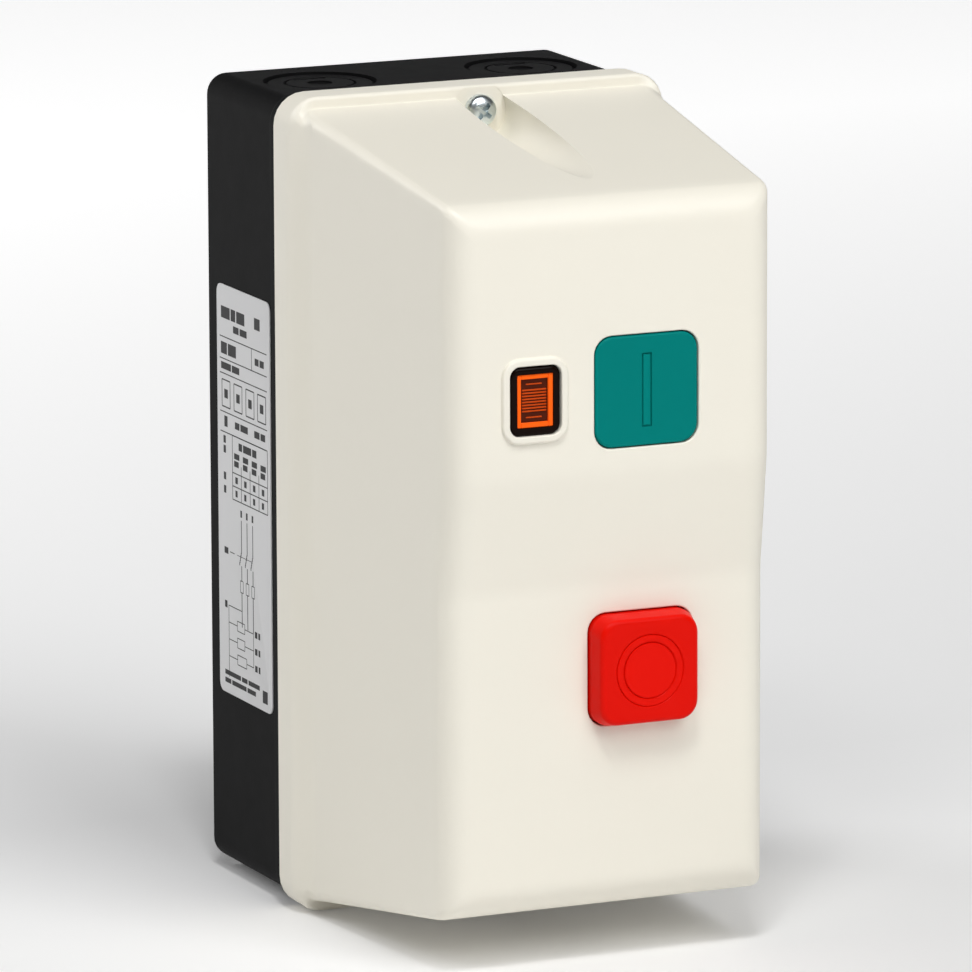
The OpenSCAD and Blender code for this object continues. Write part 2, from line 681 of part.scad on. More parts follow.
module trip_frame() color("#d9d5c8") difference() {
    block([-2, reset_spring_y[0], -37], [19, -64, -12]);
    rod(3.8, -65, -72, stop_x, stop_z);
}

module reset_plunger() color("#c8261a") {
    rod(3.5, -74, stop_stem_y + 0.05, stop_x, stop_z);
    rod(5.2, reset_spring_y[1], relay_front_y + 3.2, stop_x, stop_z);
}

module reset_spring() color("silver")
    spring(4.4, 0.35, reset_spring_y[0], reset_spring_y[1], 5, stop_x, stop_z);

module test_tab() color("#2c6fb0") {
    block([12, relay_front_y - 2, -44], [16, -81.3, -40]);
    block([10.5, relay_front_y + 3.2, -46], [18, -81.3, -38]);
}

module current_dial() color("#e9e6da") difference() {
    union() {
        rod(6.5, relay_front_y + 1.5, relay_front_y - 1.2, dial_x, stop_z);
        rod(2.2, -79, relay_front_y + 1.4, dial_x, stop_z);
    }
    translate([dial_x - 4.5, relay_front_y - 1.3, stop_z - 0.6]) cube([9, 1.3, 1.2]);
}

module relay_terminals() color("#c98b4f") {
    for (x = poles) difference() {
        block([x - contact_half_w, contact_y, -61], [x + contact_half_w, contact_y + contact_t, -50]);
        rod(contact_r, -58, -61, x, relay_terminal_z);
    }
    for (x = main_poles) block([x - contact_half_w, contact_y, -51.2], [x + contact_half_w, -49, -50]);
}

module relay_clamps() color("#d0d3d6") for (x = poles) difference() {
    block([x - 3.6, clamp_y, -61], [x + 3.6, clamp_y + 1.2, -54]);
    rod(1.85, -60, -63, x, relay_terminal_z);
}

module relay_screws() color("#d8dbde")
    for (x = poles) pan_screw(3.1, 2.5, 1.75, clamp_y, -55, x, relay_terminal_z);

// ---- control wires ----

module lamp_wire() color("#20242a") wire(lamp_route);

module start_wire() color("#a02020") wire(start_route);

module relay_wire() color("#a02020") wire(relay_route);

base_box();
screw_inserts();
side_label();
mounting_rail();
rail_screws();
earth_terminal();
earth_screw();
cover_shell();
cover_gasket();
cover_screw_top();
cover_screw_bottom();
start_button();
start_seal();
start_spring();
stop_button();
stop_seal();
stop_spring();
button_frame();
frame_screws();
lamp_lens();
lamp_holder();
neon_lamp();
contactor_base();
rail_latch();
fixed_core();
coil_bobbin();
coil_winding();
coil_terminals();
coil_screws();
contactor_head();
fixed_contacts();
terminal_clamps();
terminal_screws();
armature();
return_springs();
contact_carrier();
moving_contacts();
contact_springs();
start_block();
start_plunger();
start_block_spring();
start_block_terminals();
relay_housing();
relay_front();
relay_pins();
bimetal_strips();
heater_windings();
trip_bar();
trip_frame();
reset_plunger();
reset_spring();
test_tab();
current_dial();
relay_terminals();
relay_clamps();
relay_screws();
lamp_wire();
start_wire();
relay_wire();
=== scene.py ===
"""Enclosed motor starter: the looks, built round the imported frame.

Shapes are written in millimetres in the row's frame (X right, Y into the wall, Z up)
and turned into metres where a mesh is made. Places come from the CAD nodes' boxes.
"""
import json
from math import atan, cos, hypot, pi, radians, sin

import bmesh
import bpy
from mathutils import Matrix, Vector


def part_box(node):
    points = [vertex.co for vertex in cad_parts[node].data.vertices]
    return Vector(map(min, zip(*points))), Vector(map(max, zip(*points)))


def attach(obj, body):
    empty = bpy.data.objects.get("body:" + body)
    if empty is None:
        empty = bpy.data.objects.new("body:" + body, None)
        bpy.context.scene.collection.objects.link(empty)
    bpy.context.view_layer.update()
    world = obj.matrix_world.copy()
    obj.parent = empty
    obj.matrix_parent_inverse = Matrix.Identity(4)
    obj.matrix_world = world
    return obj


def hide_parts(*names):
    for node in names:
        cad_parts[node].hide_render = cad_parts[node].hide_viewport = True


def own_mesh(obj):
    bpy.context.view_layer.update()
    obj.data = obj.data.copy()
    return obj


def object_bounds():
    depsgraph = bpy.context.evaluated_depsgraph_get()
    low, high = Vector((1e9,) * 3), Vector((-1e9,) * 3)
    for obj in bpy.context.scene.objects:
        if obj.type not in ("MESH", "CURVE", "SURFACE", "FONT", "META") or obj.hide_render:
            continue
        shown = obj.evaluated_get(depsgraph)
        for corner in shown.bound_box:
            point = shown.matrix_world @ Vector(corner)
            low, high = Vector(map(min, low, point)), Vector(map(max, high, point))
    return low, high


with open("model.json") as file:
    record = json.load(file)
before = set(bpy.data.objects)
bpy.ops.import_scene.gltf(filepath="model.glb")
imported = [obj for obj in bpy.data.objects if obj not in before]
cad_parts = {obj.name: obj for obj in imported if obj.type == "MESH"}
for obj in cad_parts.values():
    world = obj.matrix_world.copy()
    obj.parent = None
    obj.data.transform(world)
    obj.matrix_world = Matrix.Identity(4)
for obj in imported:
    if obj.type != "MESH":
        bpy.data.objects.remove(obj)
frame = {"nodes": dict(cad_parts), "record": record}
cad_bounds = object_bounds()

MM = 0.001
BODY_OF = {n: b for b, nodes in frame["record"]["behaviour"]["bodies"].items() for n in nodes}
SLOT_OF = {s["node"]: s["material_slot"] for s in frame["record"]["subparts"]}


class Span:
    """A CAD node's box in millimetres: low, high, mid and size."""

    def __init__(self, node):
        low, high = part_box(node)
        self.low, self.high = low / MM, high / MM
        self.mid = (self.low + self.high) / 2
        self.size = self.high - self.low


shell, base, label = Span("cover_shell"), Span("base_box"), Span("side_label")
start, stop, lens = Span("start_button"), Span("stop_button"), Span("lamp_lens")
cover_screws = [Span("cover_screw_top"), Span("cover_screw_bottom")]
button_frame = Span("button_frame")

# ---- sizes, in millimetres ----
RIM_Y = shell.high.y  # plane where cover and box meet
RIM_W, RIM_H = shell.size.x, shell.size.z
RIM_DEPTH = 8.5
RIM_R = 7.0
LEDGE_R = 0.9  # convex edge of the rim on top and bottom
SIDE_SLOPE = (2.2, 6.0)  # how far behind and before the shoulder the rim's sides slope in
SHOULDER_Y = RIM_Y - RIM_DEPTH
SHOULDER_X, SHOULDER_Z = 42.0, 87.3  # where the body leaves the rim
BEZEL_H = 0.9  # how far the lamp's surround stands proud
BEZEL_R = 4.0
FRONT_Y = start.low.y  # upper front face
STEP_BACK = 3.5
LOWER_Y = FRONT_Y + STEP_BACK  # lower front face
FRONT_X, FRONT_TOP_Z, FRONT_BOTTOM_Z = 37.5, 75.8, -77.4
STEP_TOP_Z, STEP_BOTTOM_Z = 17.6, -7.4
STEP_SOFT = 0.07  # share of the step's height that its edges are rounded over
SIDE_R, TOP_R, BOTTOM_R = 6.35, 7.0, 7.5
BODY_EDGE_R = 1.9
FOOT_EDGE_R = BODY_EDGE_R + 0.8  # the same edge where the body leaves the rim
WALL = 2.5
ARC_STEPS = 9
CORNER_STEPS = 6
BODY_STEPS = 9  # rings between shoulder and front rounding
BODY_END_Y = FRONT_Y + 7.2
FADE_START_Y, FADE_END_Y = FRONT_Y + 38, FRONT_Y + 7.6  # the step fades in between these
COLUMNS = [-26, -17, -8, 0, 8, 17, 26]  # points along top and bottom
PLAIN_ROWS = [5.0, -66, -50, -34, -20, 28, 40, 52, 64]  # points up the sides, away from the step's edges
SOFT_ROWS = [edge - k / 4 * STEP_SOFT * (STEP_TOP_Z - STEP_BOTTOM_Z)
             for edge in (STEP_TOP_Z, STEP_BOTTOM_Z) for k in range(-4, 5)]
ROWS = sorted(SOFT_ROWS + PLAIN_ROWS)
FACE_INSET = 1.2  # flat ring that keeps the shading of the rounded edge off the face
TUBE_END_Y = FRONT_Y + 7.6
TUBE_WALL = 2
BUTTON_R = 4.0
BUTTON_GAP = 0.25
BUTTON_W = {"start": 23.8, "stop": 24.0}
BUTTONS = (("start", start, FRONT_Y), ("stop", stop, LOWER_Y))
LAMP_W, LAMP_H, LAMP_R = 11.9, 15.0, 2.3
BEZEL_W = 1.65
SCREW_R = 1.9
GROOVE_R = 6.3
POST_R, POST_HOLE_R, POST_HOLE_DEPTH = 3, 1.25, 8
POSTS = [(start.mid.x, 53), (-4.5, 4.5), (19, 4.5), (stop.mid.x, -44)]
GASKET_W, GASKET_R, GASKET_INNER_R = 1.4, 5, 3.6

CREASE = 38  # degrees; flatter edges are shaded smooth
MERGE = 0.002  # points closer than this are one


# ---- mesh helpers ----

def quarter(steps):
    """Angles that divide a quarter turn, both ends included."""
    return [pi / 2 * k / steps for k in range(steps + 1)]


def circle(steps):
    return [2 * pi * k / steps for k in range(steps)]


def add_object(name, data):
    obj = bpy.data.objects.new(name, data)
    bpy.context.scene.collection.objects.link(obj)
    return obj


def piece_from(bm, name, smooth_angle=35):
    """Turns a bmesh in millimetres into an object in metres."""
    bmesh.ops.recalc_face_normals(bm, faces=bm.faces)
    bmesh.ops.scale(bm, vec=(MM, MM, MM), verts=bm.verts)
    mesh = bpy.data.meshes.new(name)
    bm.to_mesh(mesh)
    bm.free()
    obj = add_object(name, mesh)
    shade(obj, smooth_angle)
    return obj


def shade(obj, angle=35):
    obj.data.shade_smooth()
    obj.data.set_sharp_from_angle(angle=radians(angle))


def modifier(obj, kind, **settings):
    m = obj.modifiers.new(kind.title(), kind)
    for key, value in settings.items():
        setattr(m, key, value)
    return m


def apply_modifiers(obj):
    graph = bpy.context.evaluated_depsgraph_get()
    mesh = bpy.data.meshes.new_from_object(obj.evaluated_get(graph), depsgraph=graph)
    mesh.name = obj.name
    obj.modifiers.clear()
    old, obj.data = obj.data, mesh
    bpy.data.meshes.remove(old)
    return obj


def combine(obj, others, operation):
    """Boolean of obj with each of the others, which are used up."""
    for other in others:
        modifier(obj, "BOOLEAN", operation=operation, object=other, solver="EXACT")
        apply_modifiers(obj)
        bpy.data.objects.remove(other)
    return obj


def tidy_mesh(obj):
    bm = bmesh.new()
    bm.from_mesh(obj.data)
    bmesh.ops.remove_doubles(bm, verts=bm.verts, dist=MERGE * MM)
    bmesh.ops.dissolve_degenerate(bm, edges=bm.edges, dist=MERGE * MM)
    bm.to_mesh(obj.data)
    bm.free()


def soften(obj, width):
    """Rounds the edges and evens out the shading over the faces beside them."""
    modifier(obj, "BEVEL", width=width * MM, segments=2, limit_method="ANGLE",
             angle_limit=radians(30), harden_normals=False, use_clamp_overlap=True)
    apply_modifiers(obj)
    shade(obj, 40)
    return even_shading(obj)


def even_shading(obj):
    modifier(obj, "WEIGHTED_NORMAL", keep_sharp=True, weight=80)
    return apply_modifiers(obj)


def clean(obj):
    tidy_mesh(obj)
    shade(obj, CREASE)
    return even_shading(obj)


def join(parts, name):
    """One object from several; each keeps its own material slots."""
    bm = bmesh.new()
    materials = []
    for part in parts:
        slots = []
        for m in part.data.materials:
            if m not in materials:
                materials.append(m)
            slots.append(materials.index(m))
        before = len(bm.faces)
        part.data.transform(part.matrix_world)
        bm.from_mesh(part.data)
        bm.faces.ensure_lookup_table()
        for f in bm.faces[before:]:
            f.material_index = slots[f.material_index] if slots else 0
        bpy.data.objects.remove(part)
    mesh = bpy.data.meshes.new(name)
    bm.to_mesh(mesh)
    bm.free()
    for m in materials:
        mesh.materials.append(m)
    return add_object(name, mesh)


def rounded_rect(half_x, half_z, r, cx=0.0, cz=0.0, steps=CORNER_STEPS):
    """Outline of a rounded rectangle, anticlockwise seen from the front."""
    r = min(r, half_x - 0.01, half_z - 0.01)
    points = []
    for quarter, (sx, sz) in enumerate(((1, 1), (-1, 1), (-1, -1), (1, -1))):
        for k in range(steps + 1):
            a = radians(90 * quarter + 90 * k / steps)
            points.append((cx + sx * (half_x - r) + r * cos(a),
                           cz + sz * (half_z - r) + r * sin(a)))
    return points


def loft(bm, rings, caps=(True, True)):
    """Skins closed rings that have the same number of points."""
    made = [[bm.verts.new(p) for p in ring] for ring in rings]
    n = len(made[0])
    for a, b in zip(made, made[1:]):
        for i in range(n):
            j = (i + 1) % n
            bm.faces.new((a[i], a[j], b[j], b[i]))
    if caps[0]:
        bm.faces.new(made[0])
    if caps[1]:
        bm.faces.new(made[-1])
    return made


def plate(name, sections, cx, cz, steps=CORNER_STEPS):
    """Rounded plate from sections (y, half width, half height, corner radius)."""
    bm = bmesh.new()
    loft(bm, [[(x, y, z) for x, z in rounded_rect(hx, hz, r, cx, cz, steps)] for y, hx, hz, r in sections])
    return piece_from(bm, name)


def slab(name, y_back, y_front, half_x, half_z, r, cx=0, cz=0):
    """Plate with the same outline from back to front."""
    return plate(name, [(y_back, half_x, half_z, r), (y_front, half_x, half_z, r)], cx, cz)


def round_edge(y, direction, hx, hz, r, radius, steps=4):
    """Sections that round the edge of a plate whose face is at y; direction is +1 for a back face."""
    out = []
    for a in quarter(steps):
        inset = radius * (1 - sin(a))
        out.append((y - direction * radius * (1 - cos(a)), hx - inset, hz - inset, max(r - inset, 0.05)))
    return out


def lathe(name, profile, centre, axis="Y", steps=48):
    """Turned solid: profile is (radius, place along the axis) from one end to the other."""
    bm = bmesh.new()
    rings = []
    for radius, along in profile:
        ring = []
        for a in circle(steps):
            u, v = max(radius, 1e-4) * cos(a), max(radius, 1e-4) * sin(a)
            offset = (u, v, along) if axis == "Z" else (u, along, v)
            ring.append(tuple(c + o for c, o in zip(centre, offset)))
        rings.append(ring)
    loft(bm, rings)
    return piece_from(bm, name)


def rod(name, r, y_back, y_front, x, z, steps=48):
    return lathe(name, [(r, y_back), (r, y_front)], (x, 0, z), steps=steps)


def block(name, low, high):
    bm = bmesh.new()
    loft(bm, [[(low[0], y, low[2]), (high[0], y, low[2]), (high[0], y, high[2]), (low[0], y, high[2])]
              for y in (low[1], high[1])])
    return piece_from(bm, name)


# ---- materials ----

SPECK_SHARE = 0.35  # how much of the colour drift comes from the fine grain
HIGHLIGHT_FROM, HIGHLIGHT_FULL = 0.52, 0.62  # pointiness at which the painted highlight on an edge starts and is complete
PATTERN_STRENGTH = 0.9
COAT_ROUGHNESS = 0.04


def shader(name):
    mat = bpy.data.materials.new(name)
    mat.use_nodes = True
    tree = mat.node_tree
    return mat, tree, tree.nodes["Principled BSDF"]


def node(tree, kind, inputs=None, **settings):
    n = tree.nodes.new(kind)
    for key, value in settings.items():
        setattr(n, key, value)
    for key, value in (inputs or {}).items():
        n.inputs[key].default_value = value
    return n


def remap(tree, source, low, high):
    m = node(tree, "ShaderNodeMapRange", {"To Min": low, "To Max": high})
    m.clamp = True
    tree.links.new(source, m.inputs["Value"])
    return m.outputs["Result"]


def tint(tree, factor, first, second):
    m = node(tree, "ShaderNodeMix", data_type="RGBA")
    tree.links.new(factor, m.inputs["Factor"])
    for index, value in ((6, first), (7, second)):
        if isinstance(value, tuple):
            m.inputs[index].default_value = (*value, 1)
        else:
            tree.links.new(value, m.inputs[index])
    return m.outputs[2]


def scaled(colour, factor):
    return tuple(min(c * factor, 1.0) for c in colour)


def finish_material(name, colour, rough, metallic=0.0, patch=28, grain=2600, variation=0.05,
                    rough_spread=0.08, bump=0.12, bump_size=0.03, edge_highlight=1.06, specular=0.5,
                    coat=0.0, pattern=None, pattern_depth=0.1, emission=None):
    """Moulded or plated surface: slow colour drift, fine grain in the gloss and the relief, and
    convex edges painted a little lighter as a highlight. A pattern adds a relief of its own."""
    mat, tree, bsdf = shader(name)
    link = tree.links.new
    coords = node(tree, "ShaderNodeTexCoord").outputs["Object"]

    def noise(scale, detail, rough_detail=0.5):
        n = node(tree, "ShaderNodeTexNoise", {"Scale": scale, "Detail": detail, "Roughness": rough_detail})
        link(coords, n.inputs["Vector"])
        return n.outputs["Fac"]

    drift, fine = noise(patch, 3.0), noise(grain, 2.0)
    spread = tint(tree, drift, scaled(colour, 1 - variation), scaled(colour, 1 + variation))
    speck = tint(tree, remap(tree, fine, 0.0, 1.0), scaled(colour, 1 - variation / 2),
                 scaled(colour, 1 + variation / 2))
    blend = node(tree, "ShaderNodeMix", {"Factor": SPECK_SHARE}, data_type="RGBA")
    link(spread, blend.inputs[6])
    link(speck, blend.inputs[7])
    # Painted highlight: convex edges, found by their pointiness, get a lighter colour as if light caught them.
    edge = node(tree, "ShaderNodeMapRange", {"From Min": HIGHLIGHT_FROM, "From Max": HIGHLIGHT_FULL})
    link(node(tree, "ShaderNodeNewGeometry").outputs["Pointiness"], edge.inputs["Value"])
    highlit = tint(tree, edge.outputs["Result"], blend.outputs[2], scaled(colour, edge_highlight))
    link(highlit, bsdf.inputs["Base Color"])
    gloss = remap(tree, noise(patch * 6, 4.0, 0.6), rough - rough_spread / 2, rough + rough_spread / 2)
    link(gloss, bsdf.inputs["Roughness"])
    relief = node(tree, "ShaderNodeBump", {"Strength": bump, "Distance": bump_size * MM})
    link(fine, relief.inputs["Height"])
    normal = relief.outputs["Normal"]
    if pattern:
        pitch, direction = pattern
        wave = node(tree, "ShaderNodeTexWave", {"Scale": pi / (10 * pitch * MM)},
                    bands_direction=direction, wave_profile="SIN")
        link(coords, wave.inputs["Vector"])
        ribs = node(tree, "ShaderNodeBump", {"Strength": PATTERN_STRENGTH, "Distance": pattern_depth * MM})
        link(wave.outputs["Fac"], ribs.inputs["Height"])
        link(normal, ribs.inputs["Normal"])
        normal = ribs.outputs["Normal"]
    link(normal, bsdf.inputs["Normal"])
    bsdf.inputs["Metallic"].default_value = metallic
    bsdf.inputs["Specular IOR Level"].default_value = specular
    bsdf.inputs["Coat Weight"].default_value = coat
    bsdf.inputs["Coat Roughness"].default_value = COAT_ROUGHNESS
    if emission:
        bsdf.inputs["Emission Color"].default_value = (*emission[0], 1)
        bsdf.inputs["Emission Strength"].default_value = emission[1]
    return mat


FINISHES = {  # slot: (name, colour, roughness, other settings)
    "cover_plastic": ("ivory_plastic", (0.865, 0.830, 0.728), 0.42,
                      dict(grain=1500, variation=0.012, bump=0.10, bump_size=0.04, edge_highlight=1.03)),
    "box_plastic": ("black_plastic", (0.0072, 0.0072, 0.0075), 0.58,
                    dict(grain=1400, variation=0.12, bump=0.25, bump_size=0.05, edge_highlight=1.8, specular=0.05)),
    "green_plastic": ("teal_plastic", (0.0, 0.196, 0.178), 0.40,
                      dict(grain=1700, bump_size=0.04, edge_highlight=1.15, specular=0.04)),
    "red_plastic": ("red_plastic", (0.76, 0.0045, 0.0003), 0.36,
                    dict(grain=1700, bump_size=0.04, edge_highlight=1.15, specular=0.08)),
    "device_plastic": ("dark_device_plastic", (0.030, 0.033, 0.038), 0.48,
                       dict(variation=0.12, bump=0.25, edge_highlight=1.7)),
    "pale_plastic": ("pale_plastic", (0.72, 0.70, 0.62), 0.42, dict(variation=0.03)),
    "brown_plastic": ("thermoset", (0.10, 0.055, 0.030), 0.45, dict(variation=0.18, bump=0.3, edge_highlight=1.5)),
    "blue_plastic": ("blue_plastic", (0.02, 0.13, 0.42), 0.36, dict(variation=0.06)),
    "rubber": ("seal_rubber", (0.020, 0.020, 0.021), 0.70, dict(variation=0.15, bump=0.4, edge_highlight=1.5)),
    "zinc": ("bright_zinc", (0.70, 0.77, 0.80), 0.30,
             dict(metallic=1.0, grain=3200, variation=0.10, rough_spread=0.14, bump=0.15, edge_highlight=1.1)),
    "brass": ("brass", (0.78, 0.57, 0.28), 0.28, dict(metallic=1.0, variation=0.10, rough_spread=0.14)),
    "contact_metal": ("copper_alloy", (0.74, 0.44, 0.25), 0.30,
                      dict(metallic=1.0, variation=0.12, rough_spread=0.14)),
    "green_zinc": ("green_lacquer", (0.05, 0.26, 0.08), 0.30, dict(metallic=0.6, variation=0.1)),
    "core_steel": ("laminated_steel", (0.36, 0.37, 0.39), 0.38,
                   dict(metallic=1.0, variation=0.12, pattern=(0.7, "X"), pattern_depth=0.12)),
    "bimetal": ("bimetal", (0.56, 0.49, 0.38), 0.32, dict(metallic=1.0, variation=0.12)),
    "copper": ("enamelled_wire", (0.48, 0.17, 0.06), 0.26,
               dict(metallic=0.5, variation=0.12, pattern=(0.5, "Y"), pattern_depth=0.2, coat=0.4)),
    "glass_fibre": ("glass_fibre_sleeve", (0.42, 0.42, 0.43), 0.65,
                    dict(variation=0.12, pattern=(0.8, "Z"), pattern_depth=0.2)),
    "neon_glass": ("neon_glass", (0.85, 0.42, 0.24), 0.10, dict(variation=0.08, coat=0.6)),
    "wire_dark": ("black_insulation", (0.018, 0.018, 0.020), 0.38, dict(variation=0.15)),
    "wire_red": ("red_insulation", (0.36, 0.015, 0.012), 0.36, dict(variation=0.10)),
    "label_foil": ("label_foil", (0.66, 0.66, 0.665), 0.40,
                   dict(variation=0.03, grain=4200, bump=0.08, edge_highlight=1.1, specular=0.3)),
    "amber_lens": ("smoked_amber", (0.006, 0.002, 0.001), 0.10,
                   dict(variation=0.25, bump=0.02, specular=0.04, coat=0.04, edge_highlight=1.4)),
}
MATERIALS = {slot: finish_material(name, colour, rough, **more)
             for slot, (name, colour, rough, more) in FINISHES.items()}
INK = finish_material("label_ink", (0.012, 0.012, 0.013), 0.45, variation=0.3, bump=0.05, specular=0.2)
AMBER_BRIGHT = finish_material("amber_frame", (1.0, 0.115, 0.004), 0.30, variation=0.15, patch=300, specular=0.1,
                               emission=((1.0, 0.12, 0.004), 0.10))
AMBER_DARK = finish_material("amber_depth", (0.070, 0.009, 0.001), 0.30, variation=0.4, patch=400, specular=0.1)
AMBER_RIB = finish_material("amber_rib", (0.55, 0.060, 0.003), 0.30, variation=0.3, patch=500, specular=0.1)


def place(obj, nodes):
    """Gives the piece its finish and its body, and hides the CAD nodes that it stands for."""
    first = nodes[0]
    if not obj.data.materials:
        obj.data.materials.append(MATERIALS[SLOT_OF[first]])
    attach(obj, BODY_OF[first])
    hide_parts(*nodes)
    return obj


# ---- cover ----

def between(low, high, t):
    return low + (high - low) * t


def half_width(y):
    return between(SHOULDER_X, FRONT_X, (y - SHOULDER_Y) / (FRONT_Y - SHOULDER_Y))


def top_edge(y):
    return between(SHOULDER_Z, FRONT_TOP_Z, (y - SHOULDER_Y) / (FRONT_Y - SHOULDER_Y))


def bottom_edge(y):
    return between(SHOULDER_Z, -FRONT_BOTTOM_Z, (y - SHOULDER_Y) / (LOWER_Y - SHOULDER_Y))


SIDE_DRAFT = atan((SHOULDER_X - FRONT_X) / (SHOULDER_Y - FRONT_Y))
TOP_DRAFT = atan((SHOULDER_Z - FRONT_TOP_Z) / (SHOULDER_Y - FRONT_Y))
BOTTOM_DRAFT = atan((SHOULDER_Z + FRONT_BOTTOM_Z) / (SHOULDER_Y - LOWER_Y))


def step_depth(z):
    """How far the front stands back at height z: the step's ramp, with soft edges."""
    t = (STEP_TOP_Z - z) / (STEP_TOP_Z - STEP_BOTTOM_Z)
    e = STEP_SOFT
    if t <= -e:
        share = 0.0
    elif t < e:
        share = (t + e) ** 2 / (4 * e)
    elif t <= 1 - e:
        share = t
    elif t < 1 + e:
        share = 1 - (1 + e - t) ** 2 / (4 * e)
    else:
        share = 1.0
    return STEP_BACK * share


def edge_profile(line, radius, draft, y, turn, back, t):
    """(half size, y) on a drafted wall at y, or on the arc that rounds it into the front when turn is 0 to 1.
    back is how far the front stands back here, and t how far the surface lies inside the outer one."""
    if turn is None:
        return line(y + back) - t / cos(draft), y + back
    centre_y = FRONT_Y + back + radius
    centre = line(centre_y) - radius / cos(draft)
    a = between(draft, pi / 2, turn)
    return centre + (radius - t) * cos(a), centre_y - (radius - t) * sin(a)


def corner_points(sx, sz, hx, hz, y_side, y_end, corner, angles):
    """Points round a corner, from the long side's y to the y of the top or bottom."""
    return [(sx * (hx - corner + corner * cos(a)), between(y_side, y_end, sin(a) ** 2),
             sz * (hz - corner + corner * sin(a))) for a in angles]


def body_ring(y, turn, t, corner, inset=0.0):
    """One ring of the cover's body, with the same rows on both sides and the same columns on top and bottom."""
    fade = 1.0 if turn is not None else min(max((y - FADE_START_Y) / (FADE_END_Y - FADE_START_Y), 0.0), 1.0)

    def side(z):
        back = step_depth(z) * fade
        hx, ys = edge_profile(half_width, SIDE_R, SIDE_DRAFT, y, turn, back, t)
        return hx - inset, ys

    def corner_arc(line, radius, draft, back, sx, sz, angles):
        hx, y_side = edge_profile(half_width, SIDE_R, SIDE_DRAFT, y, turn, back, t)
        hz, y_end = edge_profile(line, radius, draft, y, turn, back, t)
        hx, hz = hx - inset, hz - inset
        return corner_points(sx, sz, hx, hz, y_side, y_end, corner, angles), hz, y_end

    up = quarter(CORNER_STEPS)
    down = up[::-1]
    right = [(*side(z), z) for z in ROWS]
    arc, hz, ys = corner_arc(top_edge, TOP_R, TOP_DRAFT, 0.0, 1, 1, up)
    ring = right + arc + [(x, ys, hz) for x in reversed(COLUMNS)]
    ring += corner_arc(top_edge, TOP_R, TOP_DRAFT, 0.0, -1, 1, down)[0]
    ring += [(-x, ys, z) for x, ys, z in reversed(right)]
    low_back = STEP_BACK * fade
    arc, hz, ys = corner_arc(bottom_edge, BOTTOM_R, BOTTOM_DRAFT, low_back, -1, -1, up)
    ring += arc + [(x, ys, -hz) for x in COLUMNS]
    return ring + corner_arc(bottom_edge, BOTTOM_R, BOTTOM_DRAFT, low_back, 1, -1, down)[0]


def rim_ring(side, end, corner):
    """A ring of the rim, with as many points as a body ring. side and end are (y, inset) on the long
    sides and on top and bottom; the corners turn from one to the other."""
    hx, hz = RIM_W / 2 - side[1], RIM_H / 2 - end[1]

    def arc(sx, sz):
        return corner_points(sx, sz, hx, hz, side[0], end[0], corner, quarter(CORNER_STEPS))

    return ([(hx, side[0], z) for z in ROWS] + arc(1, 1) + [(x, end[0], hz) for x in reversed(COLUMNS)]
            + arc(-1, 1)[::-1] + [(-hx, side[0], z) for z in reversed(ROWS)]
            + arc(-1, -1) + [(x, end[0], -hz) for x in COLUMNS] + arc(1, -1)[::-1])


def rim_rings():
    """The rim: flat edge, then a gentle slope on the long sides and a crisp ledge on top and bottom."""
    rings = [rim_ring((RIM_Y - d, i), (RIM_Y - d, i), RIM_R - i)
             for d, i in ((0.0, 0.35), (0.12, 0.1), (0.35, 0.0))]
    ledge = RIM_H / 2 - SHOULDER_Z
    end = [(SHOULDER_Y + LEDGE_R * (1 - sin(a)), LEDGE_R * (1 - cos(a))) for a in quarter(4)]
    end += [(SHOULDER_Y, ledge - 0.7), (SHOULDER_Y, ledge - 0.3),
            (SHOULDER_Y - 0.09, ledge - 0.09), (SHOULDER_Y - 0.3, ledge)]
    for k, point in enumerate(end):
        t = k / (len(end) - 1)
        y = between(SHOULDER_Y + SIDE_SLOPE[0], SHOULDER_Y - SIDE_SLOPE[1], t)
        inset = (RIM_W / 2 - half_width(min(y, SHOULDER_Y))) * t * t * (3 - 2 * t)
        rings.append(rim_ring((y, inset), point, between(RIM_R, FOOT_EDGE_R, t)))
    return rings


def front_cap(bm, ring):
    """Fills the front with one strip between neighbouring rows, so that the step stays true."""
    n_rows, n_arc, n_cols = len(ROWS), CORNER_STEPS + 1, len(COLUMNS)
    top = n_rows + n_arc  # first point of the top side
    left_top = top + n_cols
    left_bottom = left_top + 2 * n_arc + n_rows
    right = ring[-n_arc:] + ring[:top]  # both sides run upwards
    left = ring[left_top:left_bottom][::-1]
    last = len(right) - 2
    for i in range(last + 1):
        above = ring[top:left_top] if i == last else []
        below = ring[left_bottom:left_bottom + n_cols] if i == 0 else []
        bm.faces.new([right[i], right[i + 1], *above, left[i + 1], left[i], *below])


def cover_skin(name, t):
    """Closed skin of the cover, t inside its outer surface; at t = 0 it includes the rim."""
    rings = rim_rings() if t == 0 else []
    first_y = SHOULDER_Y - SIDE_SLOPE[1] - 0.5 if t == 0 else RIM_Y + 1
    for k in range(BODY_STEPS + 1):
        y = between(first_y, BODY_END_Y, k / BODY_STEPS)
        corner = max(between(FOOT_EDGE_R, BODY_EDGE_R, k / BODY_STEPS) - t / 2, 0.6)
        rings.append(body_ring(y, None, t, corner))
    for k in range(1, ARC_STEPS + 1):
        rings.append(body_ring(None, k / ARC_STEPS, t, max(BODY_EDGE_R - t / 2, 0.6)))
    corner = BODY_EDGE_R if t == 0 else 1.5
    rings.append(body_ring(None, 1.0, t, corner, FACE_INSET))
    bm = bmesh.new()
    made = loft(bm, rings, caps=(True, False))
    front_cap(bm, made[-1])
    return piece_from(bm, name)


def hole_sections(y_inside, y_face, half_x, half_z, r, flare=0.35):
    """A hole's cutter: straight, then flared where it meets the face, so the hole's edge comes out rounded."""
    sections = [(y_inside, half_x, half_z, r)]
    for a in quarter(4):
        grow = flare * (1 - cos(a))
        sections.append((y_face + flare - flare * sin(a), half_x + grow, half_z + grow, r + grow))
    sections.append((y_face - 3, half_x + flare, half_z + flare, r + flare))
    return sections


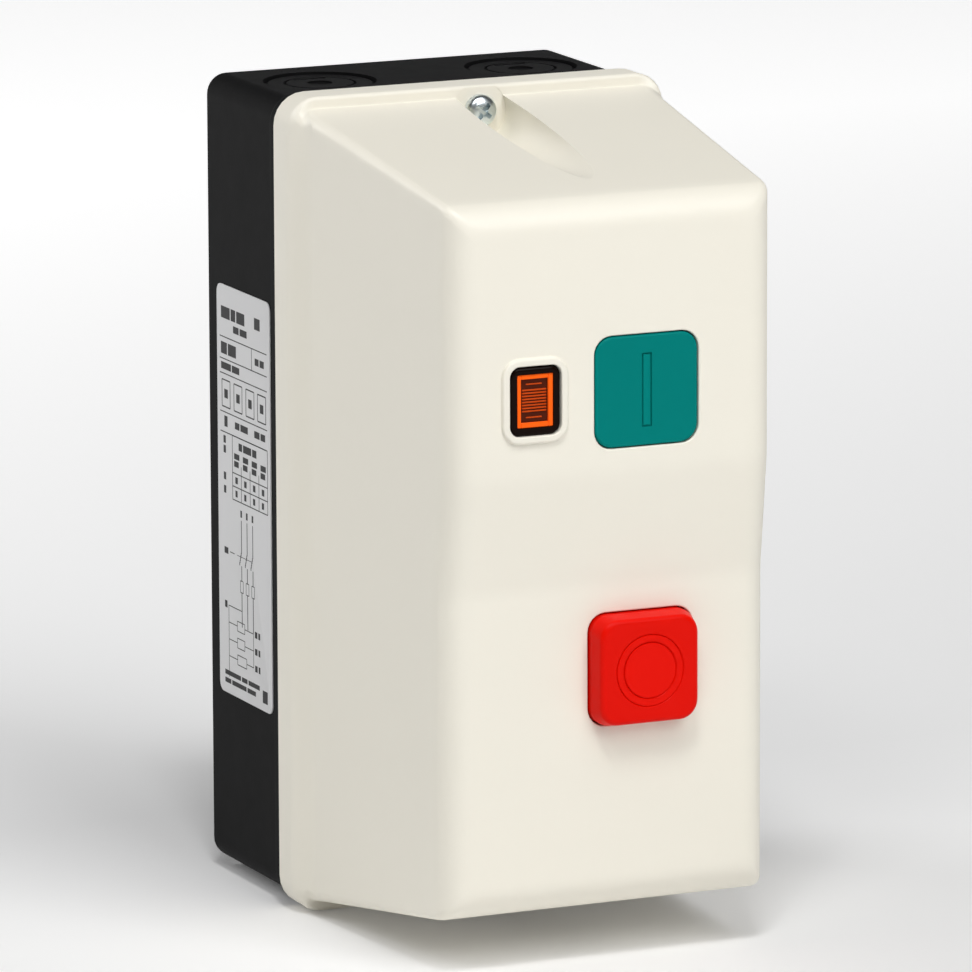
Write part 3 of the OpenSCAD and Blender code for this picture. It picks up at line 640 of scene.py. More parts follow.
def crisp_grooves(obj):
    """Keeps the edges of the screwdriver grooves sharp where they run out at a flat angle."""
    bm = bmesh.new()
    bm.from_mesh(obj.data)
    for screw in cover_screws:
        wall = {v for v in bm.verts
                if abs(hypot(v.co.x / MM - screw.mid.x, v.co.z / MM - screw.mid.z) - GROOVE_R) < 0.02}
        for e in bm.edges:
            if all(v in wall and v.co.y / MM < SHOULDER_Y - 2 for v in e.verts):
                inside = [all(v in wall for v in f.verts) for f in e.link_faces]
                if any(inside) and not all(inside):
                    e.smooth = False
    bm.to_mesh(obj.data)
    bm.free()


def hollow_out(outer):
    """Takes out the inside, but leaves a wall round each groove and button, and posts for the frame's screws."""
    cavity = cover_skin("cavity", WALL)
    kept = [rod("groove_wall", GROOVE_R + 2, RIM_Y + 2, FRONT_Y - 2, s.mid.x, s.mid.z) for s in cover_screws]
    for kind, span, face in BUTTONS:
        half = BUTTON_W[kind] / 2 + TUBE_WALL
        kept.append(slab("tube", TUBE_END_Y, FRONT_Y - 2, half, half, BUTTON_R + 1.5, span.mid.x, span.mid.z))
    kept += [rod("post", POST_R, button_frame.low.y, FRONT_Y - 2, x, z, 32) for x, z in POSTS]
    combine(cavity, kept, "DIFFERENCE")
    combine(outer, [cavity], "DIFFERENCE")


def make_bezel():
    """Surround of the lamp, with a small rounding at its foot."""
    half_x, half_z = LAMP_W / 2 + BEZEL_W, LAMP_H / 2 + BEZEL_W
    foot = [(FRONT_Y + depth, half_x + grow, half_z + grow, BEZEL_R + grow)
            for depth, grow in ((1, 0.3), (-0.02, 0.22), (-0.1, 0.05), (-0.25, 0.0))]
    edge = round_edge(FRONT_Y - BEZEL_H, -1, half_x, half_z, BEZEL_R, 0.62, 5)[::-1]
    return plate("bezel", foot + edge, lens.mid.x, lens.mid.z)


def gasket_track():
    gasket = Span("cover_gasket")
    half_x, half_z = gasket.size.x / 2, gasket.size.z / 2
    track = slab("track", RIM_Y + 1, gasket.low.y, half_x, half_z, GASKET_R)
    core = slab("core", RIM_Y + 2, gasket.low.y - 1, half_x - GASKET_W, half_z - GASKET_W, GASKET_INNER_R)
    return combine(track, [core], "DIFFERENCE")


def cover_holes():
    holes = []
    for kind, span, face in BUTTONS:
        half = BUTTON_W[kind] / 2 + BUTTON_GAP
        holes.append(plate("hole", hole_sections(TUBE_END_Y + 1, face, half, half, BUTTON_R), span.mid.x, span.mid.z))
    sections = hole_sections(FRONT_Y + WALL + 1, FRONT_Y - BEZEL_H, LAMP_W / 2, LAMP_H / 2, LAMP_R)
    holes.append(plate("hole", sections, lens.mid.x, lens.mid.z))
    for s in cover_screws:
        holes.append(rod("groove", GROOVE_R, SHOULDER_Y + 0.1, FRONT_Y - 5, s.mid.x, s.mid.z, 96))
        holes.append(rod("hole", SCREW_R + 0.1, RIM_Y + 1, SHOULDER_Y - 1, s.mid.x, s.mid.z, 32))
    back = button_frame.low.y
    holes += [rod("hole", POST_HOLE_R, back + 1, back - POST_HOLE_DEPTH, x, z, 24) for x, z in POSTS]
    return holes + [gasket_track()]


def make_cover():
    outer = cover_skin("cover", 0)
    hollow_out(outer)
    combine(outer, [make_bezel()], "UNION")
    combine(outer, cover_holes(), "DIFFERENCE")
    tidy_mesh(outer)
    shade(outer, CREASE)
    crisp_grooves(outer)
    even_shading(outer)
    return place(outer, ["cover_shell"])


# ---- box ----

LIP = 1.1  # how far the box's rim stands out from its walls
BOX_R, LIP_R, LIP_EDGE_R = 4.5, 6.9, 6.6
KNOCKOUT_Y, KNOCKOUT_X = RIM_Y + 22, 24
KNOCKOUT = [  # grooves and rings of a knock-out: radius and height over the wall's face
    (0.001, 2), (12.5, 2), (12.5, -1.1), (11.5, -1.1), (11.4, -1.0), (11.4, -0.45), (8.0, -0.45),
    (8.0, -0.95), (7.4, -0.95), (7.4, -0.45), (2.8, -0.45), (2.8, -0.85), (0.001, -0.85),
]
BAR_HALF, BAR_NEAR, BAR_FAR, BAR_DEPTH = 3.75, 5.2, 6.4, 0.85  # pull bar behind a knock-out's middle
WALL_HOLES = [(x, z) for x in (-30, 30) for z in (-75, 75)]
RAIL_SCREW_X = 26.5


def knockout_cutters(x, s):
    """Groove, rings and pull bar of one knock-out in the top (s = 1) or bottom (s = -1) wall."""
    face = base.size.z / 2 - LIP
    ring = lathe("knockout", [(r, s * (face + h)) for r, h in KNOCKOUT], (x, KNOCKOUT_Y, 0), axis="Z", steps=72)
    low, high = sorted((s * (face - BAR_DEPTH), s * (face + 1)))
    bar = block("bar", (x - BAR_HALF, KNOCKOUT_Y + BAR_NEAR, low), (x + BAR_HALF, KNOCKOUT_Y + BAR_FAR, high))
    return [ring, bar]


def box_sections(half_x, half_z):
    """The walls from the rounded back edge to the lip at the front."""
    lip_x, lip_z = base.size.x / 2, base.size.z / 2
    return round_edge(0, 1, half_x, half_z, BOX_R, 1.0, 4) + [
        (RIM_Y + 4.5, half_x, half_z, BOX_R), (RIM_Y + 4.1, half_x + 0.1, half_z + 0.1, 4.6),
        (RIM_Y + 3.9, half_x + 0.5, half_z + 0.5, 5.5), (RIM_Y + 3.6, lip_x - 0.1, lip_z - 0.1, LIP_EDGE_R),
        (RIM_Y + 3.3, lip_x, lip_z, LIP_R), (RIM_Y + 0.25, lip_x, lip_z, LIP_R),
        (RIM_Y, lip_x - 0.25, lip_z - 0.25, LIP_EDGE_R),
    ]


def make_box():
    half_x, half_z = -label.high.x, base.size.z / 2 - LIP  # the label lies on the left wall
    rail, earth = Span("mounting_rail"), Span("earth_screw")
    rail_screws = [(x, rail.mid.z) for x in (-RAIL_SCREW_X, RAIL_SCREW_X)]
    body = plate("box", box_sections(half_x, half_z), 0, 0, 8)
    cavity = slab("cavity", -3, RIM_Y - 1, half_x - WALL, half_z - WALL, 2.5)
    bosses = [(4.4, -2, RIM_Y - 2, s.mid.x, s.mid.z) for s in cover_screws]  # radius, back, front, x, z
    bosses += [(5, -2, -5, *at) for at in WALL_HOLES]
    bosses += [(4.2, -2, rail.high.y, *at) for at in rail_screws]
    bosses.append((4, -2, -9, earth.mid.x, earth.mid.z))
    combine(cavity, [rod("boss", *boss) for boss in bosses], "DIFFERENCE")
    holes = [(2.25, 1, -8, *at, 32) for at in WALL_HOLES]  # the same, then the number of sides
    for s in cover_screws:
        holes.append((2.7, RIM_Y + 8, RIM_Y - 1, s.mid.x, s.mid.z, 40))
        holes.append((SCREW_R + 0.3, -30, RIM_Y, s.mid.x, s.mid.z, 32))
    holes += [(1.5, -1.5, -8, *at, 24) for at in rail_screws]
    holes.append((2.05, -3.5, -10, earth.mid.x, earth.mid.z, 24))
    cuts = [cavity] + [rod("hole", *hole) for hole in holes]
    for x in (-KNOCKOUT_X, KNOCKOUT_X):
        for side in (-1, 1):
            cuts += knockout_cutters(x, side)
    combine(body, cuts, "DIFFERENCE")
    clean(body)
    return place(body, ["base_box"])


# ---- side label ----

def ink_marks():
    """Generic print: bars in place of words, a ratings table and a starter's circuit. Each mark is
    (left, low, right, high) from the label's middle, left to right as one reads it."""
    marks = []

    def bar(u0, v0, u1, v1):
        marks.append((u0, v0, u1, v1))

    def line(u0, v0, u1, v1, w=0.24):
        if u0 == u1:
            bar(u0 - w / 2, min(v0, v1), u0 + w / 2, max(v0, v1))
        else:
            bar(min(u0, u1), v0 - w / 2, max(u0, u1), v0 + w / 2)

    def outline(u0, v0, u1, v1, w=0.2):
        line(u0, v0, u1, v0, w)
        line(u0, v1, u1, v1, w)
        line(u0, v0, u0, v1, w)
        line(u1, v0, u1, v1, w)

    def words(u, v, widths, h=1.2):
        for w in widths:
            bar(u, v - 0.1 * h, u + w, v + 1.1 * h)
            u += w + 0.55

    def rule(v):
        line(left, v, right, v)

    left, right = -13.3, 13.3
    words(-12.4, 38.6, [5.0, 2.6, 4.6], 2.2)
    bar(6.4, 38.7, 9.6, 41.3)
    words(-5.6, 36.0, [3.2, 4.0], 1.3)
    rule(34.2)
    words(-12.6, 30.6, [3.4, 4.6], 2.2)
    line(4.8, 29.3, 4.8, 34.2)
    words(6.6, 30.9, [2.2, 2.4], 1.3)
    rule(29.3)
    words(-12.6, 27.1, [5.6, 4.2], 1.3)
    rule(26.0)
    for u in (-12.2, -5.4, 1.4, 8.0):  # four generic symbols in frames
        outline(u, 18.6, u + 4.6, 24.6, 0.3)
        bar(u + 1.3, 20.6, u + 3.3, 22.6)
    rule(17.4)
    words(-11.0, 14.4, [1.8], 2.0)
    words(-5.0, 14.7, [2.6, 4.2], 1.3)
    words(6.0, 14.7, [3.0, 2.6], 1.3)
    rule(12.9)
    for v in (12.9, 4.6, 1.6, -1.4):  # ratings table
        line(-6.6, v, right, v)
    for u in (-6.6, -1.6, 3.4, 8.4, right):
        line(u, -1.4, u, 6.6 if u not in (-6.6, right) else 12.9)
    words(-3.0, 10.2, [2.0, 4.6, 2.4], 1.4)
    for u in (-5.6, -0.6, 4.4, 9.4):
        words(u, 7.9, [3.0], 1.1)
        words(u, 6.2, [2.6], 1.1)
        words(u + 0.6, 2.5, [1.4], 1.2)
        words(u + 0.6, -0.5, [1.2], 1.2)
    for v in (10.6, 8.4, 2.4, -0.6):
        words(-11.6, v, [1.3], 1.4)
    poles = (-1.8, 1.4, 4.6)
    for u in poles:  # supply lines, contacts, overload
        words(u - 0.5, -4.6, [0.9], 1.3)
        line(u, -5.4, u, -12.2, 0.34)
        line(u, -15.6, u, -19.0, 0.34)
        line(u, -21.6, u, -29.4, 0.34)
        outline(u - 0.8, -19.0, u + 0.8, -21.6)
    for u in poles:
        for k in range(6):  # open contact drawn as a stepped slant
            bar(u - 1.3 + 0.22 * k, -15.6 + 0.56 * k, u - 0.96 + 0.22 * k, -14.9 + 0.56 * k)
    line(-4.4, -13.6, 4.0, -13.6, 0.14)
    line(-8.4, -13.6, -5.8, -13.6, 0.2)
    words(-11.6, -14.2, [2.2], 1.2)
    words(-11.6, -26.4, [1.4], 1.3)
    line(-9.4, -25.8, -1.8, -25.8, 0.2)
    line(-9.4, -42.0, -9.4, -25.8, 0.2)
    for v, w in ((-29.6, 4.2), (-33.4, 4.2), (-37.2, 5.2)):  # control circuit
        line(-9.4, v, -4.6, v, 0.2)
        outline(-4.6, v - 1.1, -4.6 + w, v + 1.1)
        line(-4.6 + w, v, 4.6, v, 0.2)
        words(5.4, v - 0.6, [1.4, 1.0], 1.2)
    line(4.6, -37.2, 4.6, -29.4, 0.2)
    words(-11.8, -41.6, [9.0, 3.2, 6.4], 0.9)
    words(-11.8, -43.4, [3.4, 8.2, 4.8], 0.9)
    bar(9.6, -44.0, 12.4, -41.2)
    return marks


def make_label():
    y, z = label.mid.y, label.mid.z
    half_u, half_v = label.size.y / 2, label.size.z / 2
    back, front = label.high.x, label.low.x
    bm = bmesh.new()
    loft(bm, [[(x, y - u * k, z + v * k) for u, v in rounded_rect(half_u, half_v, 2.0)]
              for x, k in ((back, 1.0), (front + 0.06, 1.0), (front + 0.012, 0.998))])
    foil = piece_from(bm, "foil")
    foil.data.materials.append(MATERIALS["label_foil"])
    bm = bmesh.new()
    for u0, v0, u1, v1 in ink_marks():
        loft(bm, [[(x, y - u, z + v) for u, v in ((u0, v0), (u1, v0), (u1, v1), (u0, v1))]
                  for x in (front + 0.03, front + 0.002)])
    ink = piece_from(bm, "ink")
    ink.data.materials.append(INK)
    return place(join([foil, ink], "side_label_print"), ["side_label"])


# ---- buttons ----

FLANGE_Y = TUBE_END_Y + 1.0  # front of the flange that keeps a button in the cover
CAP_WALL = 3
STEM_R = 3.1


def button_flange(w, x, z):
    sections = ((1.5, 1.2), (1.4, 1.3), (0.1, 1.3), (0.0, 1.2))
    return plate("flange", [(FLANGE_Y + d, w / 2 + grow, w / 2 + grow, BUTTON_R) for d, grow in sections], x, z)


def make_button(kind, span, cap_sections, floor_y, engraving):
    """A hollow cap with its flange, its stem and the sign engraved in its face."""
    w, x, z = BUTTON_W[kind], span.mid.x, span.mid.z
    cap = plate(kind, [(FLANGE_Y + 0.5, w / 2, w / 2, BUTTON_R)] + cap_sections, x, z, 10)
    combine(cap, [button_flange(w, x, z)], "UNION")
    hollow = slab("hollow", FLANGE_Y + 2, floor_y, w / 2 - CAP_WALL, w / 2 - CAP_WALL, 2, x, z)
    combine(cap, [hollow] + engraving, "DIFFERENCE")
    end = span.high.y
    stem = lathe("stem", [(STEM_R - 0.4, end), (STEM_R, end - 0.4), (STEM_R, floor_y - 0.5)], (x, 0, z))
    combine(cap, [stem], "UNION")
    clean(cap)
    cap.name = kind + "_cap"
    return place(cap, [kind + "_button"])


def engraved_ring(r, width, depth, face_y, x, z):
    """Cutter for a round engraved line whose walls lean outwards."""
    outer, inner, foot = r + width / 2, r - width / 2, r - width * 0.3
    ring = lathe("ring", [(r - width * 0.2, face_y + depth), (outer, face_y), (outer, face_y - 1)],
                 (x, 0, z), steps=96)
    core = lathe("core", [(foot, face_y + 2), (foot, face_y + depth * 0.8), (inner, face_y), (inner, face_y - 2)],
                 (x, 0, z), steps=96)
    return combine(ring, [core], "DIFFERENCE")


def make_start_button():
    """The engraved bar is an outline round an island that stays at the height of the face."""
    w, y, x, z = BUTTON_W["start"] / 2, FRONT_Y, start.mid.x, start.mid.z
    face = round_edge(y, -1, w, w, BUTTON_R, 0.6, 5)[::-1]
    bar = plate("bar", [(y + 0.4, 1.12, 7.92, 0.12), (y + 0.05, 1.16, 7.96, 0.14), (y - 0.5, 1.4, 8.2, 0.3)],
                x, z, 2)
    island = plate("island", [(y + 2, 0.80, 7.60, 0.05), (y + 0.15, 0.80, 7.60, 0.05),
                              (y + 0.06, 0.72, 7.52, 0.04)], x, z, 2)
    combine(bar, [island], "DIFFERENCE")
    return make_button("start", start, face, FRONT_Y + 3, [bar])


STOP_LEAN, STOP_EDGE_R = 0.5, 1.15  # the cap narrows by this much before its rounded edge
STOP_RINGS = ((7.8, 0.36, 0.3), (6.1, 0.42, 0.36))  # radius, width and depth of the engraved lines


def make_stop_button():
    w, x, z = BUTTON_W["stop"] / 2, stop.mid.x, stop.mid.z
    front = stop.low.y
    face = [(LOWER_Y - 1.0, w, w, BUTTON_R), (LOWER_Y - 1.6, w - 0.04, w - 0.04, BUTTON_R)]
    for a in quarter(7):
        inset = STOP_LEAN + STOP_EDGE_R * (1 - cos(a))
        face.append((front + STOP_EDGE_R * (1 - sin(a)), w - inset, w - inset, BUTTON_R + 0.4 - inset * 0.5))
    rings = [engraved_ring(*ring, front, x, z) for ring in STOP_RINGS]
    return make_button("stop", stop, face, LOWER_Y + 1, rings)


# ---- pilot lamp ----

LENS_GAP, LENS_R = 0.1, 2.2
WINDOW_X, WINDOW_Z, WINDOW_DEPTH = 4.2, 5.75, 0.9
RIBS = 8


def make_lens_body(x, z):
    """Smoked cap with a sunk window."""
    half_x, half_z = LAMP_W / 2 - LENS_GAP, LAMP_H / 2 - LENS_GAP
    front = lens.low.y
    body = plate("lens", [(FRONT_Y + 7.5, half_x, half_z, LENS_R)]
                 + round_edge(front, -1, half_x, half_z, LENS_R, 0.9, 6)[::-1], x, z, 10)
    back = slab("lens_flange", FRONT_Y + WALL + 1.5, FRONT_Y + WALL, half_x + 1.6, half_z + 1.6, LENS_R, x, z)
    combine(body, [back], "UNION")
    hollow = slab("hollow", FRONT_Y + 8, FRONT_Y + 1.6, half_x - 1.2, half_z - 1.2, 1, x, z)
    window = slab("window", front + WINDOW_DEPTH, front - 1, WINDOW_X, WINDOW_Z, 0.5, x, z)
    combine(body, [hollow, window], "DIFFERENCE")
    shade(body, CREASE)
    even_shading(body)
    body.data.materials.append(MATERIALS["amber_lens"])
    return body


def make_lamp():
    """The window holds a bright frame round dark ribs."""
    x, z = lens.mid.x, lens.mid.z
    parts = [make_lens_body(x, z)]
    deep, lit = lens.low.y + WINDOW_DEPTH, lens.low.y + 0.25

    def add(u0, v0, u1, v1, y_back, y_front, mat, r=0.2):
        cu, cv, hu, hv = (u0 + u1) / 2, (v0 + v1) / 2, (u1 - u0) / 2, (v1 - v0) / 2
        e = min(0.12, hu / 3, hv / 3)
        sections = [(y_back, hu, hv, r), (y_front + e, hu, hv, r), (y_front, hu - e, hv - e, max(r - e, 0.03))]
        part = plate("strip", sections, x + cu, z + cv, 3)
        part.data.materials.append(mat)
        parts.append(part)

    add(-4.19, -5.74, 4.19, 5.74, deep + 0.3, deep - 0.1, AMBER_DARK)
    for strip in ((-4.15, -5.7, -3.2, 5.7), (3.1, -5.7, 4.15, 5.7), (-3.2, 4.7, 3.1, 5.7), (-3.2, -5.7, 3.1, -4.6)):
        add(*strip, deep, lit, AMBER_BRIGHT)
    for k in range(RIBS):
        v = between(-2.2, 2.3, k / (RIBS - 1))
        add(-2.8, v - 0.16, 2.7, v + 0.16, deep, lit + 0.25, AMBER_RIB, 0.05)
    for v in (3.55, -3.55):
        add(-1.9, v - 0.14, 1.7, v + 0.14, deep, lit + 0.35, AMBER_RIB, 0.05)
    return place(join(parts, "lamp_window"), ["lamp_lens"])


# ---- screws and springs ----

CROSS = [  # arms of the cross recess: turn in degrees, half length, half width, depth
    (38, 2.45, 0.52, 1.7), (128, 2.45, 0.52, 1.7), (83, 1.5, 0.22, 0.6), (173, 1.5, 0.22, 0.6),
]
PAN = 0.62  # below 1 the head is flatter than a ball
HEAD_EDGE = 0.7  # height of the head's upright edge


def make_cover_screw(node_name):
    span = Span(node_name)
    x, z = span.mid.x, span.mid.z
    seat, front, r = SHOULDER_Y + 0.1, span.low.y, span.size.x / 2
    dome = [(r * max(cos(a), 0) ** PAN, seat - HEAD_EDGE - (seat - HEAD_EDGE - front) * sin(a))
            for a in quarter(12)]
    profile = [(0.001, span.high.y), (SCREW_R * 0.6, span.high.y), (SCREW_R, span.high.y - 1.2), (SCREW_R, seat),
               (r - 0.15, seat), (r, seat - 0.2), *dome]
    screw = lathe(node_name, profile, (x, 0, z))
    cross = []
    for turn, long, wide, deep in CROSS:
        arm = plate("arm", [(front + deep, long * 0.55, wide * 0.7, 0.05), (front - 0.5, long, wide, 0.05)], 0, 0, 2)
        turned = Matrix.Rotation(radians(turn), 4, "Y")
        arm.data.transform(Matrix.Translation(Vector((x, 0, z)) * MM) @ turned)
        cross.append(arm)
    combine(screw, cross, "DIFFERENCE")
    clean(screw)
    screw.name = node_name + "_metal"
    return place(screw, [node_name])


def coil(bm, r, wire_r, y_back, y_front, turns, x, z, steps=28, sides=10):
    """Compression spring with closed ends: the pitch is small over the first and last turn."""
    total = turns * steps
    run = y_back - y_front - 2 * wire_r
    rings = []
    for i in range(total + 1):
        t = i / total
        eased = between(t, 3 * t * t - 2 * t * t * t, 0.45)
        a = 2 * pi * i / steps
        out = Vector((cos(a), 0, sin(a)))
        centre = Vector((x, y_back - wire_r - run * eased, z)) + out * r
        rings.append([tuple(centre + out * wire_r * cos(b) + Vector((0, wire_r * sin(b), 0)))
                      for b in circle(sides)])
    loft(bm, rings)


SPRINGS = {  # node: (radius, wire radius, turns, joint, travel in mm, middles or None for the box's own)
    "start_spring": (5, 0.45, 6, "start_press", 4.0, None),
    "stop_spring": (5, 0.45, 6, "stop_press", 4.0, None),
    "start_block_spring": (2.4, 0.35, 5, "start_contact", 4.0, None),
    "reset_spring": (4.4, 0.35, 5, "relay_reset", 4.0, None),
    "return_springs": (2.2, 0.3, 7, "armature_pull_in", 4.4, (-11, 11)),
    "contact_springs": (2.2, 0.3, 4, None, 0, (-15.75, -5.25, 5.25, 15.75)),
}


def make_spring(node_name):
    r, wire_r, turns, joint, travel, middles = SPRINGS[node_name]
    span = Span(node_name)
    bm = bmesh.new()
    for x in middles or (span.mid.x,):
        coil(bm, r, wire_r, span.high.y, span.low.y, turns, x, span.mid.z)
    obj = place(piece_from(bm, node_name + "_coil", 60), [node_name])
    if joint:
        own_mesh(obj)
    return obj


# ---- parts inside: the CAD solids with rounded edges ----

def make_dressed(node_name, width):
    bm = bmesh.new()
    bm.from_mesh(frame["nodes"][node_name].data)
    bmesh.ops.remove_doubles(bm, verts=bm.verts, dist=MERGE * MM)
    bmesh.ops.dissolve_limit(bm, angle_limit=radians(0.5), verts=bm.verts, edges=bm.edges)
    bmesh.ops.scale(bm, vec=(1 / MM,) * 3, verts=bm.verts)
    obj = piece_from(bm, node_name + "_detail")
    soften(obj, width)
    return place(obj, [node_name])


PLAIN_NODES = {  # CAD solids that keep their shape, with the width of their edge rounding
    "cover_gasket": 0.2, "start_seal": 0.1, "stop_seal": 0.1, "button_frame": 0.25, "frame_screws": 0.15,
    "screw_inserts": 0.15, "mounting_rail": 0.15, "rail_screws": 0.15, "earth_terminal": 0.15, "earth_screw": 0.15,
    "lamp_holder": 0.25, "neon_lamp": 0.1, "contactor_base": 0.35, "rail_latch": 0.25, "fixed_core": 0.15,
    "coil_bobbin": 0.2, "coil_winding": 0.4, "coil_terminals": 0.15, "coil_screws": 0.15, "contactor_head": 0.35,
    "fixed_contacts": 0.1, "terminal_clamps": 0.15, "terminal_screws": 0.15, "armature": 0.15, "contact_carrier": 0.3,
    "moving_contacts": 0.12, "start_block": 0.3, "start_plunger": 0.25, "start_block_terminals": 0.3,
    "relay_housing": 0.35, "relay_front": 0.35, "relay_pins": 0.1, "bimetal_strips": 0.08, "heater_windings": 0.3,
    "trip_bar": 0.15, "trip_frame": 0.25, "reset_plunger": 0.25, "test_tab": 0.2, "current_dial": 0.2,
    "relay_terminals": 0.1, "relay_clamps": 0.15, "relay_screws": 0.15,
}


# ---- control wires ----

WIRE_R, WIRE_BEND = 0.9, 3.0
WIRES = {  # corners of each wire's run; a number 0 or 1 picks a side of the CAD wire's box on that axis
    "lamp_wire": [(1, 1, 57.8), (1, 1, 1), (0, 1, 1), (0, 0, 1), (0, 0, 0), (-26.6, 0, 0)],
    "start_wire": [(0, 0, 50.5), (0, 0, 1), (1, 1, 1), (1, 1, 57.8)],
    "relay_wire": [(15.75, 1, -61.1), (15.75, 1, 0), (1, 1, 0), (1, 1, 4.0), (1, 0, 4.0), (0, 0, 4.0), (0, 0, 18.7)],
}


def wire_corners(node_name):
    """Middle of the wire at each corner: on the box's side, or at the height or width written down."""
    span = Span(node_name)
    low, high = span.low + Vector((WIRE_R,) * 3), span.high - Vector((WIRE_R,) * 3)
    return [Vector([(low[i], high[i])[c] if c in (0, 1) else c for i, c in enumerate(corner)])
            for corner in WIRES[node_name]]


def bent_path(corners, bend, steps=7):
    """The corners joined by straight runs, with a smooth bend at each corner between them."""
    path = [corners[0]]
    for a, b, c in zip(corners, corners[1:], corners[2:]):
        u, v = (a - b), (c - b)
        cut = min(bend, u.length * 0.45, v.length * 0.45)
        first, last = b + u.normalized() * cut, b + v.normalized() * cut
        path += [first.lerp(b, t).lerp(b.lerp(last, t), t) for t in (k / steps for k in range(steps + 1))]
    return path + [corners[-1]]


def make_wire(node_name, sides=14):
    path = bent_path(wire_corners(node_name), WIRE_BEND)
    ahead = (path[1] - path[0]).normalized()
    side = ahead.orthogonal().normalized()
    rings = []
    for i, point in enumerate(path):
        new = (path[min(i + 1, len(path) - 1)] - path[max(i - 1, 0)]).normalized()
        side = ahead.rotation_difference(new) @ side
        ahead = new
        other = ahead.cross(side)
        rings.append([tuple(point + side * WIRE_R * cos(a) + other * WIRE_R * sin(a))
                      for a in circle(sides)])
    bm = bmesh.new()
    loft(bm, rings)
    return place(piece_from(bm, node_name + "_run"), [node_name])


# ---- studio ----

CAMERA_AZIMUTH, CAMERA_ELEVATION, CAMERA_ROLL = 24.024, 11.447, -0.211  # degrees
CAMERA_DISTANCE, CAMERA_LENS = 2.05882, 348.25  # metres; millimetres on a 36 mm sensor
CAMERA_OFFSET = (0.005026, -0.000042)  # sideways and upwards, metres
SENSOR_W, CLIP_END = 36, 20  # millimetres; metres


def make_camera():
    az, el, roll = (radians(a) for a in (CAMERA_AZIMUTH, CAMERA_ELEVATION, CAMERA_ROLL))
    back = Vector((-sin(az) * cos(el), -cos(az) * cos(el), sin(el)))
    right = Vector((cos(az), -sin(az), 0))
    up = Vector((sin(az) * sin(el), cos(az) * sin(el), cos(el)))
    right, up = (cos(roll) * right + sin(roll) * up, -sin(roll) * right + cos(roll) * up)
    aim = Vector((0, RIM_Y * MM, 0)) + right * CAMERA_OFFSET[0] + up * CAMERA_OFFSET[1]
    camera = add_object("camera", bpy.data.cameras.new("camera"))
    camera.data.lens = CAMERA_LENS
    camera.data.sensor_width = SENSOR_W
    camera.data.clip_end = CLIP_END
    turn = Matrix((right, up, back)).transposed().to_4x4()
    camera.matrix_world = Matrix.Translation(aim + back * CAMERA_DISTANCE) @ turn
    bpy.context.scene.camera = camera


FLOOR_GAP = 0.3  # below the cover, in millimetres like the next line
FLOOR_INNER, FLOOR_FLAT, FLOOR_CURVE = 1000, 7000, 2000  # radii: first ring, flat part, rise at the far rim
FLOOR_STEPS = 64
FLOOR_GLOW = (0.06, 0.62)  # light that the floor gives off before and behind the object
GLOW_Y = (0.05, 0.9)  # metres; where the one turns into the other


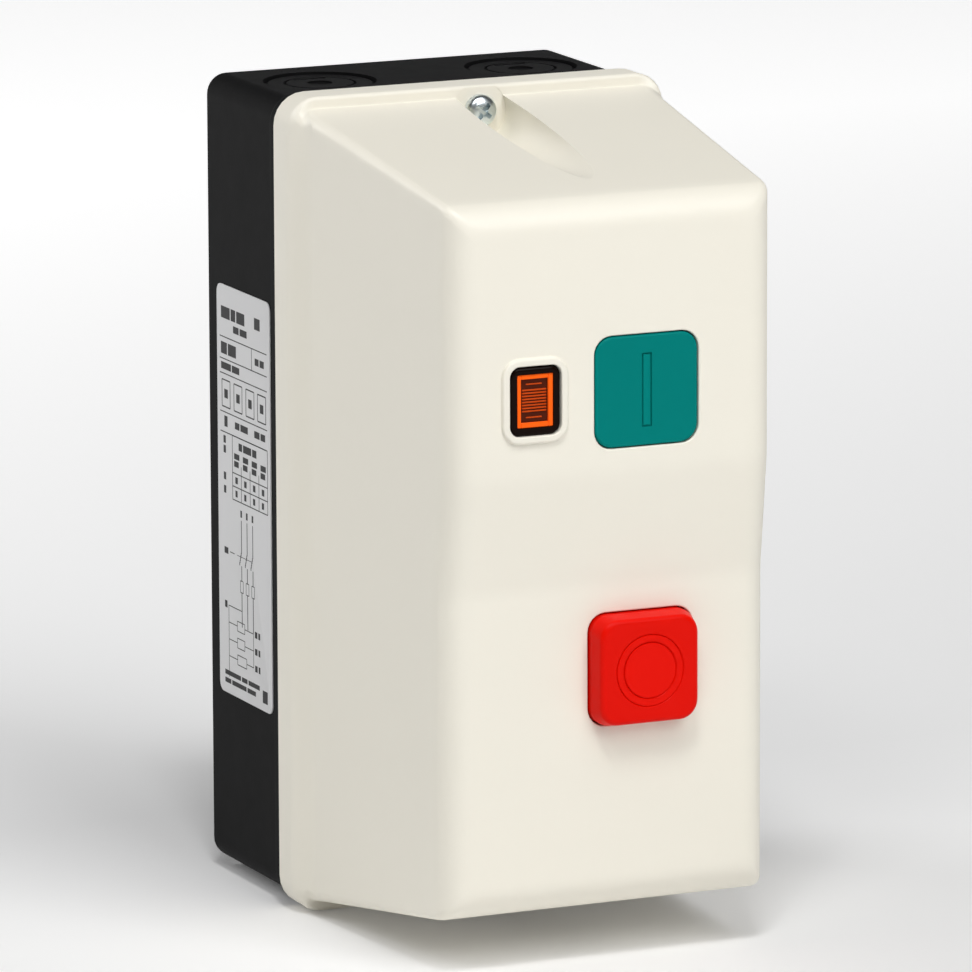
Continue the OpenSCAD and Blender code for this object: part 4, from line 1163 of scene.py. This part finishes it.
def make_floor():
    """Pale round floor whose far rim curves up, so that low views see no horizon."""
    z0 = shell.low.z - FLOOR_GAP
    outline = [(FLOOR_INNER, z0), (FLOOR_FLAT, z0)]
    outline += [(FLOOR_FLAT + FLOOR_CURVE * sin(a), z0 + FLOOR_CURVE * (1 - cos(a)))
                for a in quarter(10)[1:]]
    bm = bmesh.new()
    rings = [[bm.verts.new((r * cos(a), r * sin(a), z)) for a in circle(FLOOR_STEPS)]
             for r, z in outline]
    bm.faces.new(rings[0])
    for a, b in zip(rings, rings[1:]):
        for k in range(FLOOR_STEPS):
            bm.faces.new((a[k - 1], a[k], b[k], b[k - 1]))
    floor = piece_from(bm, "floor")
    paper = finish_material("studio_paper", (0.86, 0.86, 0.86), 0.8, variation=0.004, patch=3, grain=300, bump=0.02,
                            specular=0.1)
    tree = paper.node_tree
    split = node(tree, "ShaderNodeSeparateXYZ")
    tree.links.new(node(tree, "ShaderNodeTexCoord").outputs["Object"], split.inputs[0])
    glow = node(tree, "ShaderNodeMapRange", {"From Min": GLOW_Y[0], "From Max": GLOW_Y[1],
                                             "To Min": FLOOR_GLOW[0], "To Max": FLOOR_GLOW[1]})
    tree.links.new(split.outputs["Y"], glow.inputs["Value"])
    bsdf = tree.nodes["Principled BSDF"]
    bsdf.inputs["Emission Color"].default_value = (1, 1, 1, 1)
    tree.links.new(glow.outputs["Result"], bsdf.inputs["Emission Strength"])
    floor.data.materials.append(paper)


LIGHT_DISTANCE = 1.9  # metres
LIGHTS = {
    "key_top": (15, 62, 0.9, 7.5),
    "front_low": (15, 35, 0.9, 12.9),
    "front_spot": (-25, 60, 0.35, 11.4),
    "left_spot": (-40, 48, 0.35, 3.6),
    "rim_back": (-130, 35, 0.9, 9.8),
}
ROOM = 0.03  # faint light from all round


def make_lights():
    middle = (cad_bounds[0] + cad_bounds[1]) / 2
    for name, (azimuth, elevation, size, power) in LIGHTS.items():
        a, e = radians(azimuth), radians(elevation)
        out = Vector((sin(a) * cos(e), -cos(a) * cos(e), sin(e)))
        data = bpy.data.lights.new(name, "AREA")
        data.shape = "SQUARE"
        data.size = size
        data.energy = power
        light = add_object(name, data)
        light.location = middle + out * LIGHT_DISTANCE
        light.rotation_mode = "QUATERNION"
        light.rotation_quaternion = (-out).to_track_quat("-Z", "Y")
    world = bpy.data.worlds.new("room")
    world.use_nodes = True
    tree = world.node_tree
    background = tree.nodes["Background"]
    background.inputs["Color"].default_value = (1, 1, 1, 1)
    background.inputs["Strength"].default_value = ROOM
    bpy.context.scene.world = world
    bpy.context.scene.view_settings.view_transform = "Standard"


make_camera()
make_floor()
make_lights()
make_cover()
make_box()
make_label()
make_start_button()
make_stop_button()
make_lamp()
make_cover_screw("cover_screw_top")
make_cover_screw("cover_screw_bottom")
for node_name in SPRINGS:
    make_spring(node_name)
for node_name in WIRES:
    make_wire(node_name)
for node_name, width in PLAIN_NODES.items():
    make_dressed(node_name, width)
